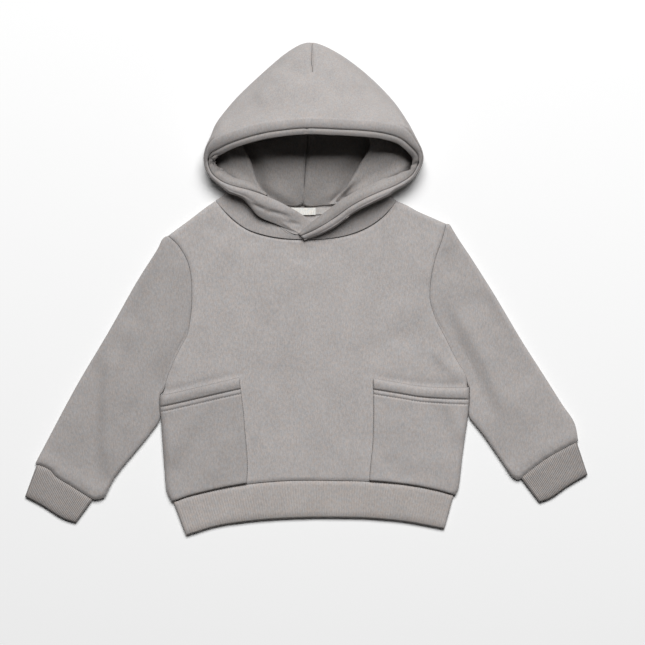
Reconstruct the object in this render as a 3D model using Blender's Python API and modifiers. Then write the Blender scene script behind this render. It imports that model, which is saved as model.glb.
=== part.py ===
"""A toddler's pullover hoodie laid flat on its back, hood up, sleeves spread.

Every cut piece is its own closed cloth solid: body front and back, two sleeves, ribbed cuffs and
hem band, two side pockets, outer hood, hood lining, neck tape and a bare neck label.
+X is the wearer's left, +Y runs from hem to crown, +Z leaves the table that the back lies on.
"""

import math

import bmesh
import bpy
from mathutils import Vector

MM = 0.001  # the tables below are in millimetres

# Cloth
WALL = 2.2
LINING_WALL = 2.0
RIB_WALL = 2.2
TRIM_WALL = 1.0
SEAM_GAP = 0.3
HOOD_GAP = 0.6  # between the neckline and the hood, whose walls meet it aslant
LAYER_GAP = 0.35

# Heights of the laid layers above the table
BODY_TOP = 7.2
FRONT_LOW = 3.7  # outer surface of the front where it meets the back at a fold
TRIM_LOW = WALL + LAYER_GAP
FOLD_REACH = 4.5
LINING_FLOOR = 4.8

# Body outline, counted from the middle of the chest: (x, y)
HEM_SEAM = ((-157, -251), (-137, -244), (-103, -236), (-68, -230), (-21, -226), (26, -226),
            (72, -227), (119, -231), (152, -237), (174, -243))
SIDE_RIGHT = ((-157, -251), (-163, -237), (-165, -215), (-167, -189), (-169, -160), (-171, -136),
              (-169.7, -124), (-167, -117))
SIDE_LEFT = ((174, -243), (178, -232), (182, -198), (185, -176), (188, -155), (190, -131),
             (190, -110))
ARMHOLE_RIGHT = ((-167, -117), (-166, -110), (-159, -91), (-149, -70), (-140, -52), (-136, -28),
                 (-135, -6), (-136, 14), (-140, 32), (-150, 50), (-163, 63))
ARMHOLE_LEFT = ((190, -110), (187, -99), (177, -83), (165, -59), (155, -40), (150, -28),
                (146, -12), (147, 11), (152, 35), (160, 58), (165, 77))
SHOULDER_RIGHT = ((-163, 63), (-144, 77), (-132, 86), (-119, 96), (-107, 104))
SHOULDER_LEFT = ((106, 104), (118, 99), (133, 91), (149, 84), (165, 77))
NECK_FRONT = ((-107, 104), (-97, 92), (-85, 80), (-64, 67), (-33, 60), (-7, 58), (16, 58),
              (40, 61), (62, 67), (82, 78), (96, 90), (106, 104))
NECK_BACK = ((-107, 104), (-61, 98), (0, 95), (57, 98), (106, 104))

# Sleeves: folded outer and inner edges, and the seam that the cuff is sewn to
SLEEVE_OUTER_RIGHT = ((-163, 63), (-167, 61.5), (-171, 57), (-177, 45), (-201, 7), (-232, -48),
                      (-271, -114), (-310, -187), (-320, -206))
SLEEVE_INNER_RIGHT = ((-167, -117), (-168.4, -119.6), (-170.6, -122.4), (-173.9, -125.2),
                      (-174.5, -131), (-174.1, -142), (-173.3, -151), (-175.6, -158.5),
                      (-181, -166.5), (-189, -177), (-199, -189), (-225, -221), (-238, -246))
CUFF_SEAM_RIGHT = ((-320, -206), (-311, -211), (-300, -217), (-278, -231), (-262, -241),
                   (-251, -248), (-238, -246))
SLEEVE_OUTER_LEFT = ((165, 77), (169, 76.2), (173, 70), (181, 57), (197, 33), (224, -10),
                     (253, -59), (283, -106), (302, -136), (316, -157), (321, -179))
SLEEVE_INNER_LEFT = ((190, -110), (191.1, -111.8), (192.4, -113.9), (193.8, -116.6), (193.8, -125),
                     (193.6, -136), (192.7, -146), (193.6, -152), (198, -159), (210, -174),
                     (226, -197), (239, -216), (244, -223))
SLEEVE_SWING = 150  # how strongly the cloth leaves the armhole square to it
CUFF_SEAM_LEFT = ((321, -179), (304, -188), (286, -198), (273, -207), (259, -218), (252, -224),
                  (244, -223))

# Ribbed bands: seam edge, free edge and the number of ribs across the front
HEM_FREE = ((-142, -291), (-110, -281), (-82, -276), (-44, -272), (2, -270), (56, -270),
            (91, -272), (119, -275), (163, -283))
HEM_RIBS = 108
CUFF_TOP_RIGHT = ((-318, -207.1), (-311, -211), (-300, -217), (-278, -231.2), (-262, -241.6),
                  (-252, -248.6))
CUFF_FREE_RIGHT = ((-332, -245), (-313, -255), (-289, -270), (-272, -276))
CUFF_TOP_LEFT = ((319, -180), (304, -188), (286, -198), (273, -207), (259, -218), (253, -223.1))
CUFF_FREE_LEFT = ((332, -219), (310, -232), (290, -246), (275, -252))
CUFF_RIBS = 37
RIB_DEPTH = 0.5
RIB_TOP = 6.6

# Pockets: mouth from the inner corner to the side, and the stitched inner edge
POCKET_MOUTH_RIGHT = ((-79, -104), (-100, -109), (-121, -114), (-142, -119), (-170, -125))
POCKET_INNER_RIGHT = ((-70, -229), (-69, -210), (-70, -189), (-72, -168), (-74, -143),
                      (-79, -104))
POCKET_MOUTH_LEFT = ((79, -105), (103, -109), (122, -113), (142, -115), (161, -116), (190, -116))
POCKET_INNER_LEFT = ((74, -226), (76, -203), (78, -184), (79, -159), (79, -135), (79, -105))
POCKET_HEIGHT = 112
POCKET_ROWS = (0, 1, 3.5, 7, 10.5, 12, 14.5, 17, 19.5, 28, 42, 60, 80, 96, 108, 112)  # from mouth
POCKET_COLUMNS = (0, .1, .25, .4, .55, .7, .83, .93, .965, .985, 1)
MOUTH_FOLD = 12.0  # width of the folded-in mouth
MOUTH_PUFF = 1.6
STITCH_SPACE = 5.0
STITCH_SINK = 0.5

# Largest creases of body and sleeves: (x0, y0) to (x1, y1), half width, rise (below 0 a trough)
CREASES = (
    (-196, 0, -243, -213, 9, -1.5),
    (-176, 10, -262, -150, 8, 0.9),
    (-166, -60, -214, -150, 7, 0.8),
    (157, 10, 262, -150, 9, -1.4),
    (164, -38, 206, -130, 7, 0.9),
    (186, 20, 272, -120, 8, 0.8),
    (-120, -20, -90, -95, 14, -0.8),
    (118, -10, 96, -90, 13, -0.7),
    (-40, 40, -28, -120, 20, 0.6),
    (52, 30, 40, -150, 22, 0.5),
    (-20, -130, 10, -215, 22, -0.6),
)

# Where rows and columns of cloth fall along an armhole and along half a neckline
ARMHOLE_SHARES = (0, .007, .024, .08, .17, .28, .39, .5, .61, .72, .83, .92, .976, .993, 1)
SIDE_SHARES = (0, .05, .2, .4, .6, .8, .93)
NECK_SHARES = (0, .1, .2, .3, .4, .5, .6, .7, .8, .9, 1)
SHOULDER_SHARES = (0, .02, .09, .3, .65)
SLEEVE_SHARES = (0, .012, .032, .054, .073, .12, .21, .31, .41, .51, .61, .71, .8, .87, .92,
                 .965, 1)
CUFF_GATHER = 0.93  # share of a sleeve's length at which its gathered end stands highest
GATHER_PUFF = 0.9
GATHER_SINK = 0.5

# Outer hood, one row a section. sewn: 0-1 along the front neckline from the shoulder to the other
# shoulder, 1-2 from the shoulder along the back neckline, 2-3 up the centre seam. rim: edge of
# the opening. fold: where the section turns under. tuck: how far it runs back under the fold.
# low: height of that turn.
HOOD_COLUMNS = ("sewn", "rim_x", "rim_y", "rim_z", "fold_x", "fold_y", "fold_z", "tuck", "low")
HOOD_RIGHT = (
    (.49, 18.5, 63.5, 8.6, 8, 60.6, 8.2, -1.5, 7.9),
    (.40, 0, 84, 9.2, -16, 69, 8.8, -3, 8.4),
    (.30, -23, 98, 14, -37.5, 77, 11.5, 1.5, 8.8),
    (.20, -47, 109, 18, -57, 86, 12.5, 4, 9.0),
    (.10, -66, 115.5, 19.5, -74, 105, 13, 4.2, 8.6),
    (1.0, -83, 120, 20, -91, 112.5, 11, 3.0, 6.0),
    (1.08, -91, 122.5, 20.5, -97.5, 117.5, 10, 3.0, 2.5),
    (1.25, -101.5, 127.5, 21.5, -105, 123.9, 9, 3.5, 0),
    (1.50, -110.4, 135.4, 23.5, -114.8, 133.2, 8, 4, 0),
    (1.75, -114.8, 147.2, 28, -120.5, 149, 8, 4.5, 0),
    (2.0, -112.6, 156.9, 35, -119.5, 163, 7, 4.5, 0),
    (2.2, -103.4, 162, 45, -113.5, 177.5, 6, 4.5, 0),
    (2.38, -89.3, 168, 55, -106, 196, 4.5, 4.5, 0),
    (2.55, -69.3, 174.3, 64, -84.5, 223.5, 3.4, 4.5, 0),
    (2.72, -45.9, 179.6, 71, -55, 252, 3.4, 4.5, 0),
    (2.87, -22.6, 182.6, 75, -26, 277, 3.4, 4.5, 0),
    (2.95, -7.7, 183.9, 76, -6, 289, 3.4, 4.5, 0),
)
HOOD_CROWN = (3.0, 3.2, 184.4, 76, 5.7, 291, 3.4, 4.5, 0)
HOOD_LEFT = (
    (.53, -6.5, 62, 14.5, -2, 57, 12, 2.0, 9.3),
    (.60, 11.4, 70, 15.5, 18, 64, 12.5, 3.0, 9.3),
    (.70, 32, 82, 17, 38, 75, 13, 4, 9.2),
    (.80, 50.4, 95, 18, 56, 88.5, 13, 4.2, 9.0),
    (.90, 70, 106, 19, 76, 99, 13, 4.2, 8.6),
    (1.0, 90, 115, 20, 97, 109, 11, 3.0, 6.0),
    (1.08, 99, 118.5, 20.5, 103.5, 114, 10, 3.0, 2.5),
    (1.25, 112, 124.8, 21.5, 116, 121.3, 9, 3.5, 0),
    (1.50, 123.9, 133.4, 23.5, 128.4, 132, 8, 4, 0),
    (1.75, 130.8, 145.7, 28, 137.2, 149, 8, 4.5, 0),
    (2.0, 130.6, 155.9, 35, 137.2, 160.5, 7, 4.5, 0),
    (2.2, 122.5, 165, 45, 130, 176.5, 6, 4.5, 0),
    (2.38, 109.4, 174.1, 55, 120.5, 195, 4.5, 4.5, 0),
    (2.55, 91, 179.3, 64, 103, 221.5, 3.4, 4.5, 0),
    (2.72, 64.1, 182.1, 71, 73, 252, 3.4, 4.5, 0),
    (2.87, 33.9, 183.4, 75, 41.5, 276, 3.4, 4.5, 0),
    (2.95, 13.1, 184.3, 76, 17.5, 288.4, 3.4, 4.5, 0),
)
CENTRE_SEAM_X = -1.0
CENTRE_SEAM_TOP = 262.0
BAND = 13.6  # stitched tunnel round the opening
BAND_PUFF = 3.0
BAND_PROFILE = ((0, 0), (.22, .75), (.6, 1), (1, .45))  # share of the tunnel's width and its puff
COVER_SHARES = (.3, .62, .87)
COVER_LOW = 6.8  # height of the folded crown edge
TENT_FROM = 12  # a cover wider than this begins to slope away from the rim as a tent
TENT_OVER = 40

# Hood lining, one row a section, in step with the outer hood's rows from the fourth on one side
# and the first on the other. facing: width seen inside the rim. drop: its fall over that width.
# end: where the section ends, on the back neckline or up the centre seam.
LINING_COLUMNS = ("facing", "drop", "end_x", "end_y")
LINING_RIGHT = (
    (3, 2.0, -44, 107), (8, 3.5, -61, 113), (12.5, 4.0, -77, 118), (13.5, 4.0, -82, 117),
    (13, 4.0, -72, 112.5), (12.5, 3.5, -55, 105), (11, 3.0, -30, 99.5), (8, 2.5, -4.4, 99),
    (7.5, 2, -2.8, 121), (7, 1.6, -1.1, 145), (7, 1.3, .7, 170), (7, 1.2, 2.5, 195),
    (7, 1.2, 4.3, 220), (7, 1.2, 5.3, 234),
)
LINING_CROWN = (7, 1.2, 6.2, 245)
LINING_LEFT = (
    (4, 1.4, -1, 66), (10, 2.6, 14, 74), (12.5, 3.2, 27, 84), (13, 3.5, 45, 100),
    (13.5, 3.8, 65, 110), (14, 4.0, 84, 118), (14, 4.0, 84, 112), (13.5, 4.0, 76, 106),
    (12.5, 3.5, 56, 101), (11, 3.0, 26, 99.5), (8, 2.5, -3.8, 99), (7.5, 2, -2.2, 121),
    (7, 1.6, -.5, 145), (7, 1.3, 1.3, 170), (7, 1.2, 3.1, 195), (7, 1.2, 4.9, 220),
    (7, 1.2, 5.9, 234),
)
# Side lobes of the lining stand above its deep middle. Each ends in an edge that runs from under
# the rim down to the neck, climbs from the fold of the hood, and is a little higher at the top.
LOBE_EDGE_RIGHT = ((-78, 180), (-73.5, 168.5), (-67.5, 155.5), (-60, 137), (-53.5, 118),
                   (-46, 104))
LOBE_EDGE_LEFT = ((80, 182), (76, 171), (68.5, 155.5), (58, 140), (49, 124), (42.5, 113.5),
                  (34.5, 100))
LOBE_RISE = 8.0
LOBE_TILT = 3.5
LOBE_FALL = 9.0
LOBE_CLIMB = 11.0
LAP_FLOOR = 9.9  # the lining's low edge where the wearer's left side laps over the right
LAPPED = (.53, .60)
HANG_STEPS = 12
TURN_INSET = 7.4  # how far the lining turns in from the folded edge of the hood
TURN_TENT = 7.0
TURN_HEIGHT = 9.5
TURN_SINK = 1.7

# Back neck trims: (x from, x to) and how far they reach down from the back neckline
TAPE_SPAN = (-52, 52)
TAPE_DEPTH = 8.0
LABEL_SPAN = (-19, 11)
LABEL_DEPTH = 8.5

COLOURS = {
    "fleece": ((0.42, 0.395, 0.38), 0.95),
    "rib": ((0.40, 0.37, 0.355), 0.95),
    "lining": ((0.40, 0.375, 0.36), 0.95),
    "tape": ((0.45, 0.43, 0.41), 0.9),
    "label": ((0.86, 0.85, 0.82), 0.7),
}


class Edge:
    """A drawn edge: smooth stretches that join at corners, each holding its share of the whole."""

    def __init__(self, *stretches, shares=(1,)):
        self.stretches = [self.smooth([Vector(point) for point in points]) for points in stretches]
        self.shares = shares

    @staticmethod
    def smooth(points, steps=10):
        """The points with others between them on a Catmull-Rom curve."""
        ends = [points[0] * 2 - points[1], *points, points[-1] * 2 - points[-2]]
        curve = []
        for a, b, c, d in zip(ends, ends[1:], ends[2:], ends[3:]):
            for step in range(steps):
                t = step / steps
                curve.append(0.5 * (2 * b + (c - a) * t + (2 * a - 5 * b + 4 * c - d) * t ** 2
                                    + (3 * b - 3 * c + d - a) * t ** 3))
        return [*curve, points[-1]]

    def moved(self, distance):
        """The same edge moved to its left by a distance."""
        line = [point for stretch in self.stretches for point in stretch]
        shifted = []
        for i, point in enumerate(line):
            before = line[max(i - 2, 0)]
            after = line[min(i + 2, len(line) - 1)]
            way = (after - before).normalized()
            shifted.append(point + Vector((-way.y, way.x)) * distance)
        edge = Edge.__new__(Edge)
        edge.shares = self.shares
        edge.stretches = []
        for stretch in self.stretches:
            edge.stretches.append(shifted[:len(stretch)])
            shifted = shifted[len(stretch):]
        return edge

    def at(self, share):
        """The point at a share of the way along, each stretch measured by its length."""
        start = 0
        for stretch, end in zip(self.stretches, self.shares):
            if share <= end + 1e-9:
                return along(stretch, (share - start) / (end - start))
            start = end
        return self.stretches[-1][-1].copy()

    def away(self, point):
        """How far a point lies from the edge in plan."""
        return min(
            distance_to_line(point, a, b)
            for stretch in self.stretches
            for a, b in zip(stretch, stretch[1:])
        )


def along(line, share):
    lengths = [(b - a).length for a, b in zip(line, line[1:])]
    left = min(max(share, 0), 1) * sum(lengths)
    for a, b, length in zip(line, line[1:], lengths):
        if left <= length:
            return a.lerp(b, left / length if length else 0)
        left -= length
    return line[-1].copy()


def distance_to_line(point, a, b):
    run = b - a
    share = min(max((point - a).dot(run) / max(run.length_squared, 1e-9), 0), 1)
    return (point - a - run * share).length


def ease(value):
    value = min(max(value, 0), 1)
    return value * value * (3 - 2 * value)


def between(bottom, top, left, right, u, v):
    """The point of a panel (Coons patch) inside four edges, u from left to right, v upward."""
    across = bottom.at(u).lerp(top.at(u), v)
    up = left.at(v).lerp(right.at(v), u)
    low = bottom.at(0).lerp(bottom.at(1), u)
    high = top.at(0).lerp(top.at(1), u)
    return across + up - low.lerp(high, v)


def crease_rise(point):
    rise = 0
    for x0, y0, x1, y1, half_width, height in CREASES:
        start = Vector((x0, y0))
        run = Vector((x1, y1)) - start
        share = (point - start).dot(run) / run.length_squared
        fade = ease((share + 0.15) / 0.3) * ease((1.15 - share) / 0.3)
        off = distance_to_line(point, start, start + run) / half_width
        rise += height * fade * math.exp(-off * off)
    return rise


def rounded(top, low, distance, reach=FOLD_REACH):
    """Height of a layer that turns down within reach of a folded edge."""
    inside = 1 - min(max(distance / reach, 0), 1)
    return low + (top - low) * math.sqrt(max(1 - inside * inside, 0))


def material(name):
    (red, green, blue), roughness = COLOURS[name]
    made = bpy.data.materials.new(name)
    made.use_nodes = True
    shader = made.node_tree.nodes["Principled BSDF"]
    shader.inputs["Base Color"].default_value = (red, green, blue, 1)
    shader.inputs["Roughness"].default_value = roughness
    return made


def grid(columns, rows, place):
    """A bmesh grid whose vertices go where place(column, row) says, in millimetres."""
    mesh = bmesh.new()
    bmesh.ops.create_grid(mesh, x_segments=columns - 1, y_segments=rows - 1, size=0.5)
    for vertex in mesh.verts:
        column = round((vertex.co.x + 0.5) * (columns - 1))
        row = round((vertex.co.y + 0.5) * (rows - 1))
        vertex.co = Vector(place(column, row)) * MM
    return mesh


def add_piece(name, mesh, cloth, wall=None):
    """Puts a bmesh in the garment's collection, with its wall grown inward from the surface."""
    data = bpy.data.meshes.new(name)
    mesh.to_mesh(data)
    mesh.free()
    data.shade_smooth()
    data.materials.append(cloth)
    piece = bpy.data.objects.new(name, data)
    garment.objects.link(piece)
    if wall:
        solid = piece.modifiers.new("wall", "SOLIDIFY")
        solid.thickness = wall * MM
        solid.offset = -1
        solid.use_quality_normals = True
    return piece


# ------------------------------------------------------------------ body

half_gap = SEAM_GAP / 2
hem_edge = Edge(HEM_SEAM).moved(half_gap)
side_share = 0.42
right_edge = Edge(SIDE_RIGHT, ARMHOLE_RIGHT, shares=(side_share, 1)).moved(-half_gap)
left_edge = Edge(SIDE_LEFT, ARMHOLE_LEFT, shares=(side_share, 1)).moved(half_gap)
shoulder_share = 0.17
top_shares = (shoulder_share, 1 - shoulder_share, 1)
top_edge = Edge(SHOULDER_RIGHT, NECK_FRONT, SHOULDER_LEFT, shares=top_shares).moved(-half_gap)
fold_lines = [Edge(line) for line in (SIDE_RIGHT, SIDE_LEFT, SHOULDER_RIGHT, SHOULDER_LEFT)]


def front_height(point):
    top = BODY_TOP + crease_rise(point)
    return rounded(top, FRONT_LOW, min(line.away(point) for line in fold_lines) - half_gap)


def front_panel(cloth):
    columns = [shoulder_share * share for share in SHOULDER_SHARES]
    columns += [shoulder_share + (1 - 2 * shoulder_share) * share for share in NECK_SHARES]
    columns += [1 - shoulder_share * share for share in reversed(SHOULDER_SHARES)]
    rows = [side_share * share for share in SIDE_SHARES]
    rows += [side_share + (1 - side_share) * share for share in ARMHOLE_SHARES]

    def place(column, row):
        point = between(hem_edge, top_edge, right_edge, left_edge, columns[column], rows[row])
        return point.x, point.y, front_height(point)

    add_piece("front_panel", grid(len(columns), len(rows), place), cloth, WALL)


def back_panel(cloth):
    """The back lies flat on the table, so it is an extruded outline."""
    outline = [hem_edge.at(i / 20) for i in range(21)]
    outline += [left_edge.at(side_share * share) for share in SIDE_SHARES[1:]]
    outline += [left_edge.at(side_share + (1 - side_share) * share) for share in ARMHOLE_SHARES]
    outline += [Edge(SHOULDER_LEFT).at(1 - share) for share in (.3, .7)]
    neck = Edge(NECK_BACK).moved(-half_gap)
    outline += [neck.at(1 - i / 8) for i in range(9)]
    outline += [Edge(SHOULDER_RIGHT).at(1 - share) for share in (.3, .7)]
    for share in reversed(ARMHOLE_SHARES):
        outline.append(right_edge.at(side_share + (1 - side_share) * share))
    outline += [right_edge.at(side_share * share) for share in reversed(SIDE_SHARES[1:])]
    curve = bpy.data.curves.new("back_panel", "CURVE")
    curve.dimensions = "2D"
    curve.fill_mode = "BOTH"
    curve.extrude = WALL / 2 * MM
    spline = curve.splines.new("POLY")
    spline.points.add(len(outline) - 1)
    for point, place in zip(spline.points, outline):
        point.co = (place.x * MM, place.y * MM, 0, 1)
    spline.use_cyclic_u = True
    curve.materials.append(cloth)
    panel = bpy.data.objects.new("back_panel", curve)
    panel.location.z = WALL / 2 * MM
    garment.objects.link(panel)


# ------------------------------------------------------------------ sleeves

def ring_height(share, length, top, is_under):
    """Height on a flattened tube at a share of its width, from one folded edge to the other."""
    middle = top / 2
    distance = min(share, 1 - share) * length
    return rounded(0 if is_under else top, middle, distance)


def sleeve(name, seam, cuff, outer, inner, turn, cloth):
    """A tube pressed flat: rings from the armhole to the cuff, its underside on the table."""
    under = [share for share in reversed(ARMHOLE_SHARES[1:-1])]
    columns = [(share, False) for share in ARMHOLE_SHARES] + [(share, True) for share in under]
    columns.append(columns[0])
    mesh_turn = 1 if turn else -1

    def place(column, row):
        share, is_under = columns[::mesh_turn][column]
        v = SLEEVE_SHARES[row]
        point = between(seam, cuff, outer, inner, share, v)
        way = (seam.at(min(share + .02, 1)) - seam.at(max(share - .02, 0))).normalized()
        swing = SLEEVE_SWING * math.sin(math.pi * share ** 1.6) * v * (1 - v) ** 3
        point += Vector((way.y, -way.x)) * (-swing if turn else swing)
        length = (between(seam, cuff, outer, inner, 0, v)
                  - between(seam, cuff, outer, inner, 0.5, v)).length * 2
        puff = GATHER_PUFF * math.exp(-((v - CUFF_GATHER) / 0.05) ** 2)
        puff -= GATHER_SINK * ease((v - CUFF_GATHER) / (1 - CUFF_GATHER) * 2 - 1)
        top = BODY_TOP + crease_rise(point) + puff
        return point.x, point.y, ring_height(share, length, top, is_under)

    mesh = grid(len(columns), len(SLEEVE_SHARES), place)
    bmesh.ops.remove_doubles(mesh, verts=mesh.verts, dist=1e-7)
    add_piece(name, mesh, cloth, WALL)


def sleeves(cloth):
    for name, armhole, cuff, outer, inner, turn in (
        ("sleeve_right", ARMHOLE_RIGHT[::-1], CUFF_SEAM_RIGHT, SLEEVE_OUTER_RIGHT,
         SLEEVE_INNER_RIGHT, False),
        ("sleeve_left", ARMHOLE_LEFT[::-1], CUFF_SEAM_LEFT, SLEEVE_OUTER_LEFT,
         SLEEVE_INNER_LEFT, True),
    ):
        away = half_gap if turn else -half_gap
        seam = Edge(armhole).moved(away)
        sleeve(name, seam, Edge(cuff).moved(-away), Edge(outer), Edge(inner), turn, cloth)


# ------------------------------------------------------------------ ribbed bands

def ribbed_band(name, top, free, ribs, cloth):
    """A flattened tube whose upper side has raised ribs over a plain inside."""
    left = Edge((top.at(0), free.at(0)))
    right = Edge((top.at(1), free.at(1)))
    rows = (0, .34, .67, 1)
    group = 8  # outer steps for each step of the plain inside
    over = [(i / (2 * ribs), i) for i in range(2 * ribs + 1)]
    plain = 12
    under = [(1 - i / plain, None) for i in range(1, plain)]
    outer_columns = over + under
    picked = list(range(0, 2 * ribs, group)) + [2 * ribs]
    picked += range(2 * ribs + 1, len(outer_columns))

    def outer(share, rib, v):
        point = between(top, free, left, right, share, v)
        length = (top.at(0) - top.at(1)).length
        distance = min(share, 1 - share) * length
        if rib is None:
            height = rounded(0, RIB_TOP / 2, distance)
        else:
            raised = RIB_DEPTH / 2 if rib % 2 else -RIB_DEPTH / 2
            height = rounded(RIB_TOP + raised * ease(distance / 4), RIB_TOP / 2, distance)
        return Vector((point.x, point.y, height))

    def inner(share, rib, v):
        length = (top.at(0) - top.at(1)).length
        inset = RIB_WALL / length
        share = inset + share * (1 - 2 * inset)
        point = between(top, free, left, right, share, v)
        distance = min(share, 1 - share) * length - RIB_WALL
        if rib is None:
            height = rounded(RIB_WALL, RIB_TOP / 2, distance, 2)
        else:
            height = rounded(RIB_TOP - RIB_DEPTH / 2 - RIB_WALL, RIB_TOP / 2, distance, 2)
        return Vector((point.x, point.y, height))

    mesh = bmesh.new()
    walls = []
    for columns, surface in ((outer_columns, outer), ([outer_columns[i] for i in picked], inner)):
        rings = []
        for v in rows:
            rings.append([mesh.verts.new(surface(*column, v) * MM) for column in columns])
        for ring, following in zip(rings, rings[1:]):
            for i, vertex in enumerate(ring):
                after = (i + 1) % len(ring)
                mesh.faces.new((vertex, ring[after], following[after], following[i]))
        walls.append(rings)
    outside, inside = walls
    for outer_ring, inner_ring in ((outside[0], inside[0]), (outside[-1], inside[-1])):
        for i, start in enumerate(picked):
            end = picked[i + 1] if i + 1 < len(picked) else len(outer_ring)
            edge = [outer_ring[step % len(outer_ring)] for step in range(start, end + 1)]
            mesh.faces.new(edge + [inner_ring[(i + 1) % len(inner_ring)], inner_ring[i]])
    bmesh.ops.recalc_face_normals(mesh, faces=mesh.faces)
    add_piece(name, mesh, cloth)


def ribbed_bands(cloth):
    ribbed_band("hem_rib", Edge(HEM_SEAM).moved(-half_gap), Edge(HEM_FREE), HEM_RIBS, cloth)
    for name, top, away, free in (
        ("cuff_right", CUFF_TOP_RIGHT, -half_gap, CUFF_FREE_RIGHT),
        ("cuff_left", CUFF_TOP_LEFT, half_gap, CUFF_FREE_LEFT),
    ):
        ribbed_band(name, Edge(top).moved(away), Edge(free), CUFF_RIBS, cloth)


# ------------------------------------------------------------------ pockets

def pocket(name, mouth, inner, side_line, bottom_at, turn, cloth):
    """A patch that follows the body front and wraps its side fold, thicker along the mouth."""
    side = Edge(side_line)
    outward = 1 if turn else -1
    lift = LAYER_GAP + WALL + STITCH_SINK
    bottom = Edge([hem_edge.at(share) for share in bottom_at])
    top_line = Edge(mouth)
    top = Edge([*[top_line.at(i / 4) for i in range(4)], Vector(mouth[-1])])
    outer = Edge([*(point for point in side_line if point[1] < mouth[-1][1] - 5), mouth[-1]])

    def place(column, row):
        u = POCKET_COLUMNS[column if turn else -1 - column]
        from_mouth = POCKET_ROWS[-1 - row]
        v = 1 - from_mouth / POCKET_HEIGHT
        base = between(bottom, top, Edge(inner), outer, u, v)
        distance = side.away(base) if u < 1 else 0
        reach = min(distance / FOLD_REACH, 1)
        lean = 1 - reach
        rise = math.sqrt(max(1 - lean * lean, 0))
        puff = MOUTH_PUFF * math.sin(math.pi * min(from_mouth / MOUTH_FOLD, 1)) ** 0.7 * rise
        for line in (MOUTH_FOLD, MOUTH_FOLD + STITCH_SPACE):
            if abs(from_mouth - line) < 0.5:
                puff = -STITCH_SINK * rise
        z = front_height(base) + (lift + puff) * rise
        return base.x + outward * lift * lean, base.y, z

    add_piece(name, grid(len(POCKET_COLUMNS), len(POCKET_ROWS), place), cloth, WALL)


def pockets(cloth):
    pocket("pocket_right", POCKET_MOUTH_RIGHT, POCKET_INNER_RIGHT, SIDE_RIGHT,
           (.26, .19, .12, .06, 0), False, cloth)
    pocket("pocket_left", POCKET_MOUTH_LEFT, POCKET_INNER_LEFT, SIDE_LEFT,
           (.7, .78, .86, .94, 1), True, cloth)


# ------------------------------------------------------------------ hood

def sections(names, table):
    return [dict(zip(names, row)) for row in table]


def sewn_point(sewn, side):
    """Where a hood section is sewn: front neckline, back neckline or centre seam."""
    if sewn < 1:
        point = Edge(NECK_FRONT).moved(HOOD_GAP).at(sewn)
        return Vector((point.x, point.y, BODY_TOP))
    back = Edge(NECK_BACK).moved(HOOD_GAP)
    if sewn < 2:
        share = (sewn - 1) / 2
        point = back.at(share if side < 0 else 1 - share)
        return Vector((point.x, point.y, BODY_TOP / 2 + 1.2 if sewn == 1 else 0))
    start = back.at(0.5).y
    gap = 0 if sewn == 3 else side * half_gap
    return Vector((CENTRE_SEAM_X + gap, start + (CENTRE_SEAM_TOP - start) * (sewn - 2), 0))


def outer_section(row, side):
    """Points of one section of the outer hood, from the rim over the fold to its seam."""
    rim = Vector((row["rim_x"], row["rim_y"]))
    fold = Vector((row["fold_x"], row["fold_y"]))
    out = (fold - rim).normalized()
    width = (fold - rim).length
    band = min(BAND, 0.7 * width)
    tent = ease((width - TENT_FROM) / TENT_OVER)
    reach = (width - band) * (1 - tent) + FOLD_REACH * tent
    puff = BAND_PUFF * min(width / TENT_FROM, 1)
    puff *= ease((row["rim_z"] - BODY_TOP) / BODY_TOP)
    points = [(share * band, row["rim_z"] + high * puff) for share, high in BAND_PROFILE]
    start = points[-1][1]
    for share in COVER_SHARES:
        slope = COVER_LOW + (start - COVER_LOW) * (1 - share) ** 0.9
        top = start + (slope - start) * tent
        at = band + (width - band) * share
        points.append((at, rounded(top, row["fold_z"], width - at, reach)))
    points.append((width, row["fold_z"]))
    tuck, low = row["tuck"], row["low"]
    points.append((width - 0.3 * tuck, low + 0.3 * (row["fold_z"] - low)))
    points.append((width - tuck, low + 0.8))
    points.append((width - tuck, low))
    placed = [Vector((*(rim + out * at), z)) for at, z in points]
    turn = placed[-1]
    end = sewn_point(row["sewn"], side)
    for share in (.3, .65):
        placed.append(turn.lerp(end, share))
    return [*placed, end]


def hood_outer(cloth):
    crown = dict(zip(HOOD_COLUMNS, HOOD_CROWN))
    rows = [outer_section(row, -1) for row in sections(HOOD_COLUMNS, HOOD_RIGHT)]
    rows.append(outer_section(crown, -1))
    rows += [outer_section(row, 1) for row in reversed(sections(HOOD_COLUMNS, HOOD_LEFT))]
    mesh = grid(len(rows), len(rows[0]), lambda column, row: rows[column][row])
    add_piece("hood_outer", mesh, cloth, WALL)


def lobe_rise(point):
    """Height of the side lobes over the lining that lies on the table side of the hood."""
    full = LOBE_RISE + LOBE_TILT * ease((point.y - 125) / 45)
    rise = 0
    for line, side in ((LOBE_EDGE_RIGHT, -1), (LOBE_EDGE_LEFT, 1)):
        edge = Edge(line)
        nearest = min(edge.stretches[0], key=lambda spot: (spot - point).length)
        is_middle = (point.x - nearest.x) * side < 0
        rise += full * (ease(1 - edge.away(point) / LOBE_FALL) if is_middle else 1)
    fade = ease((point.y - 98) / 14) * ease((188 - point.y) / 14)
    return rise * fade


def lobe_share(start, end):
    """Share of a lining section at which it crosses the edge of a lobe."""
    best, at = 1e9, 0.4
    for line in (LOBE_EDGE_RIGHT, LOBE_EDGE_LEFT):
        edge = Edge(line)
        for i in range(5, 36):
            away = edge.away(start.lerp(end, i / 40))
            if away < best:
                best, at = away, i / 40
    return at if best < 6 else 0.4


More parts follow.
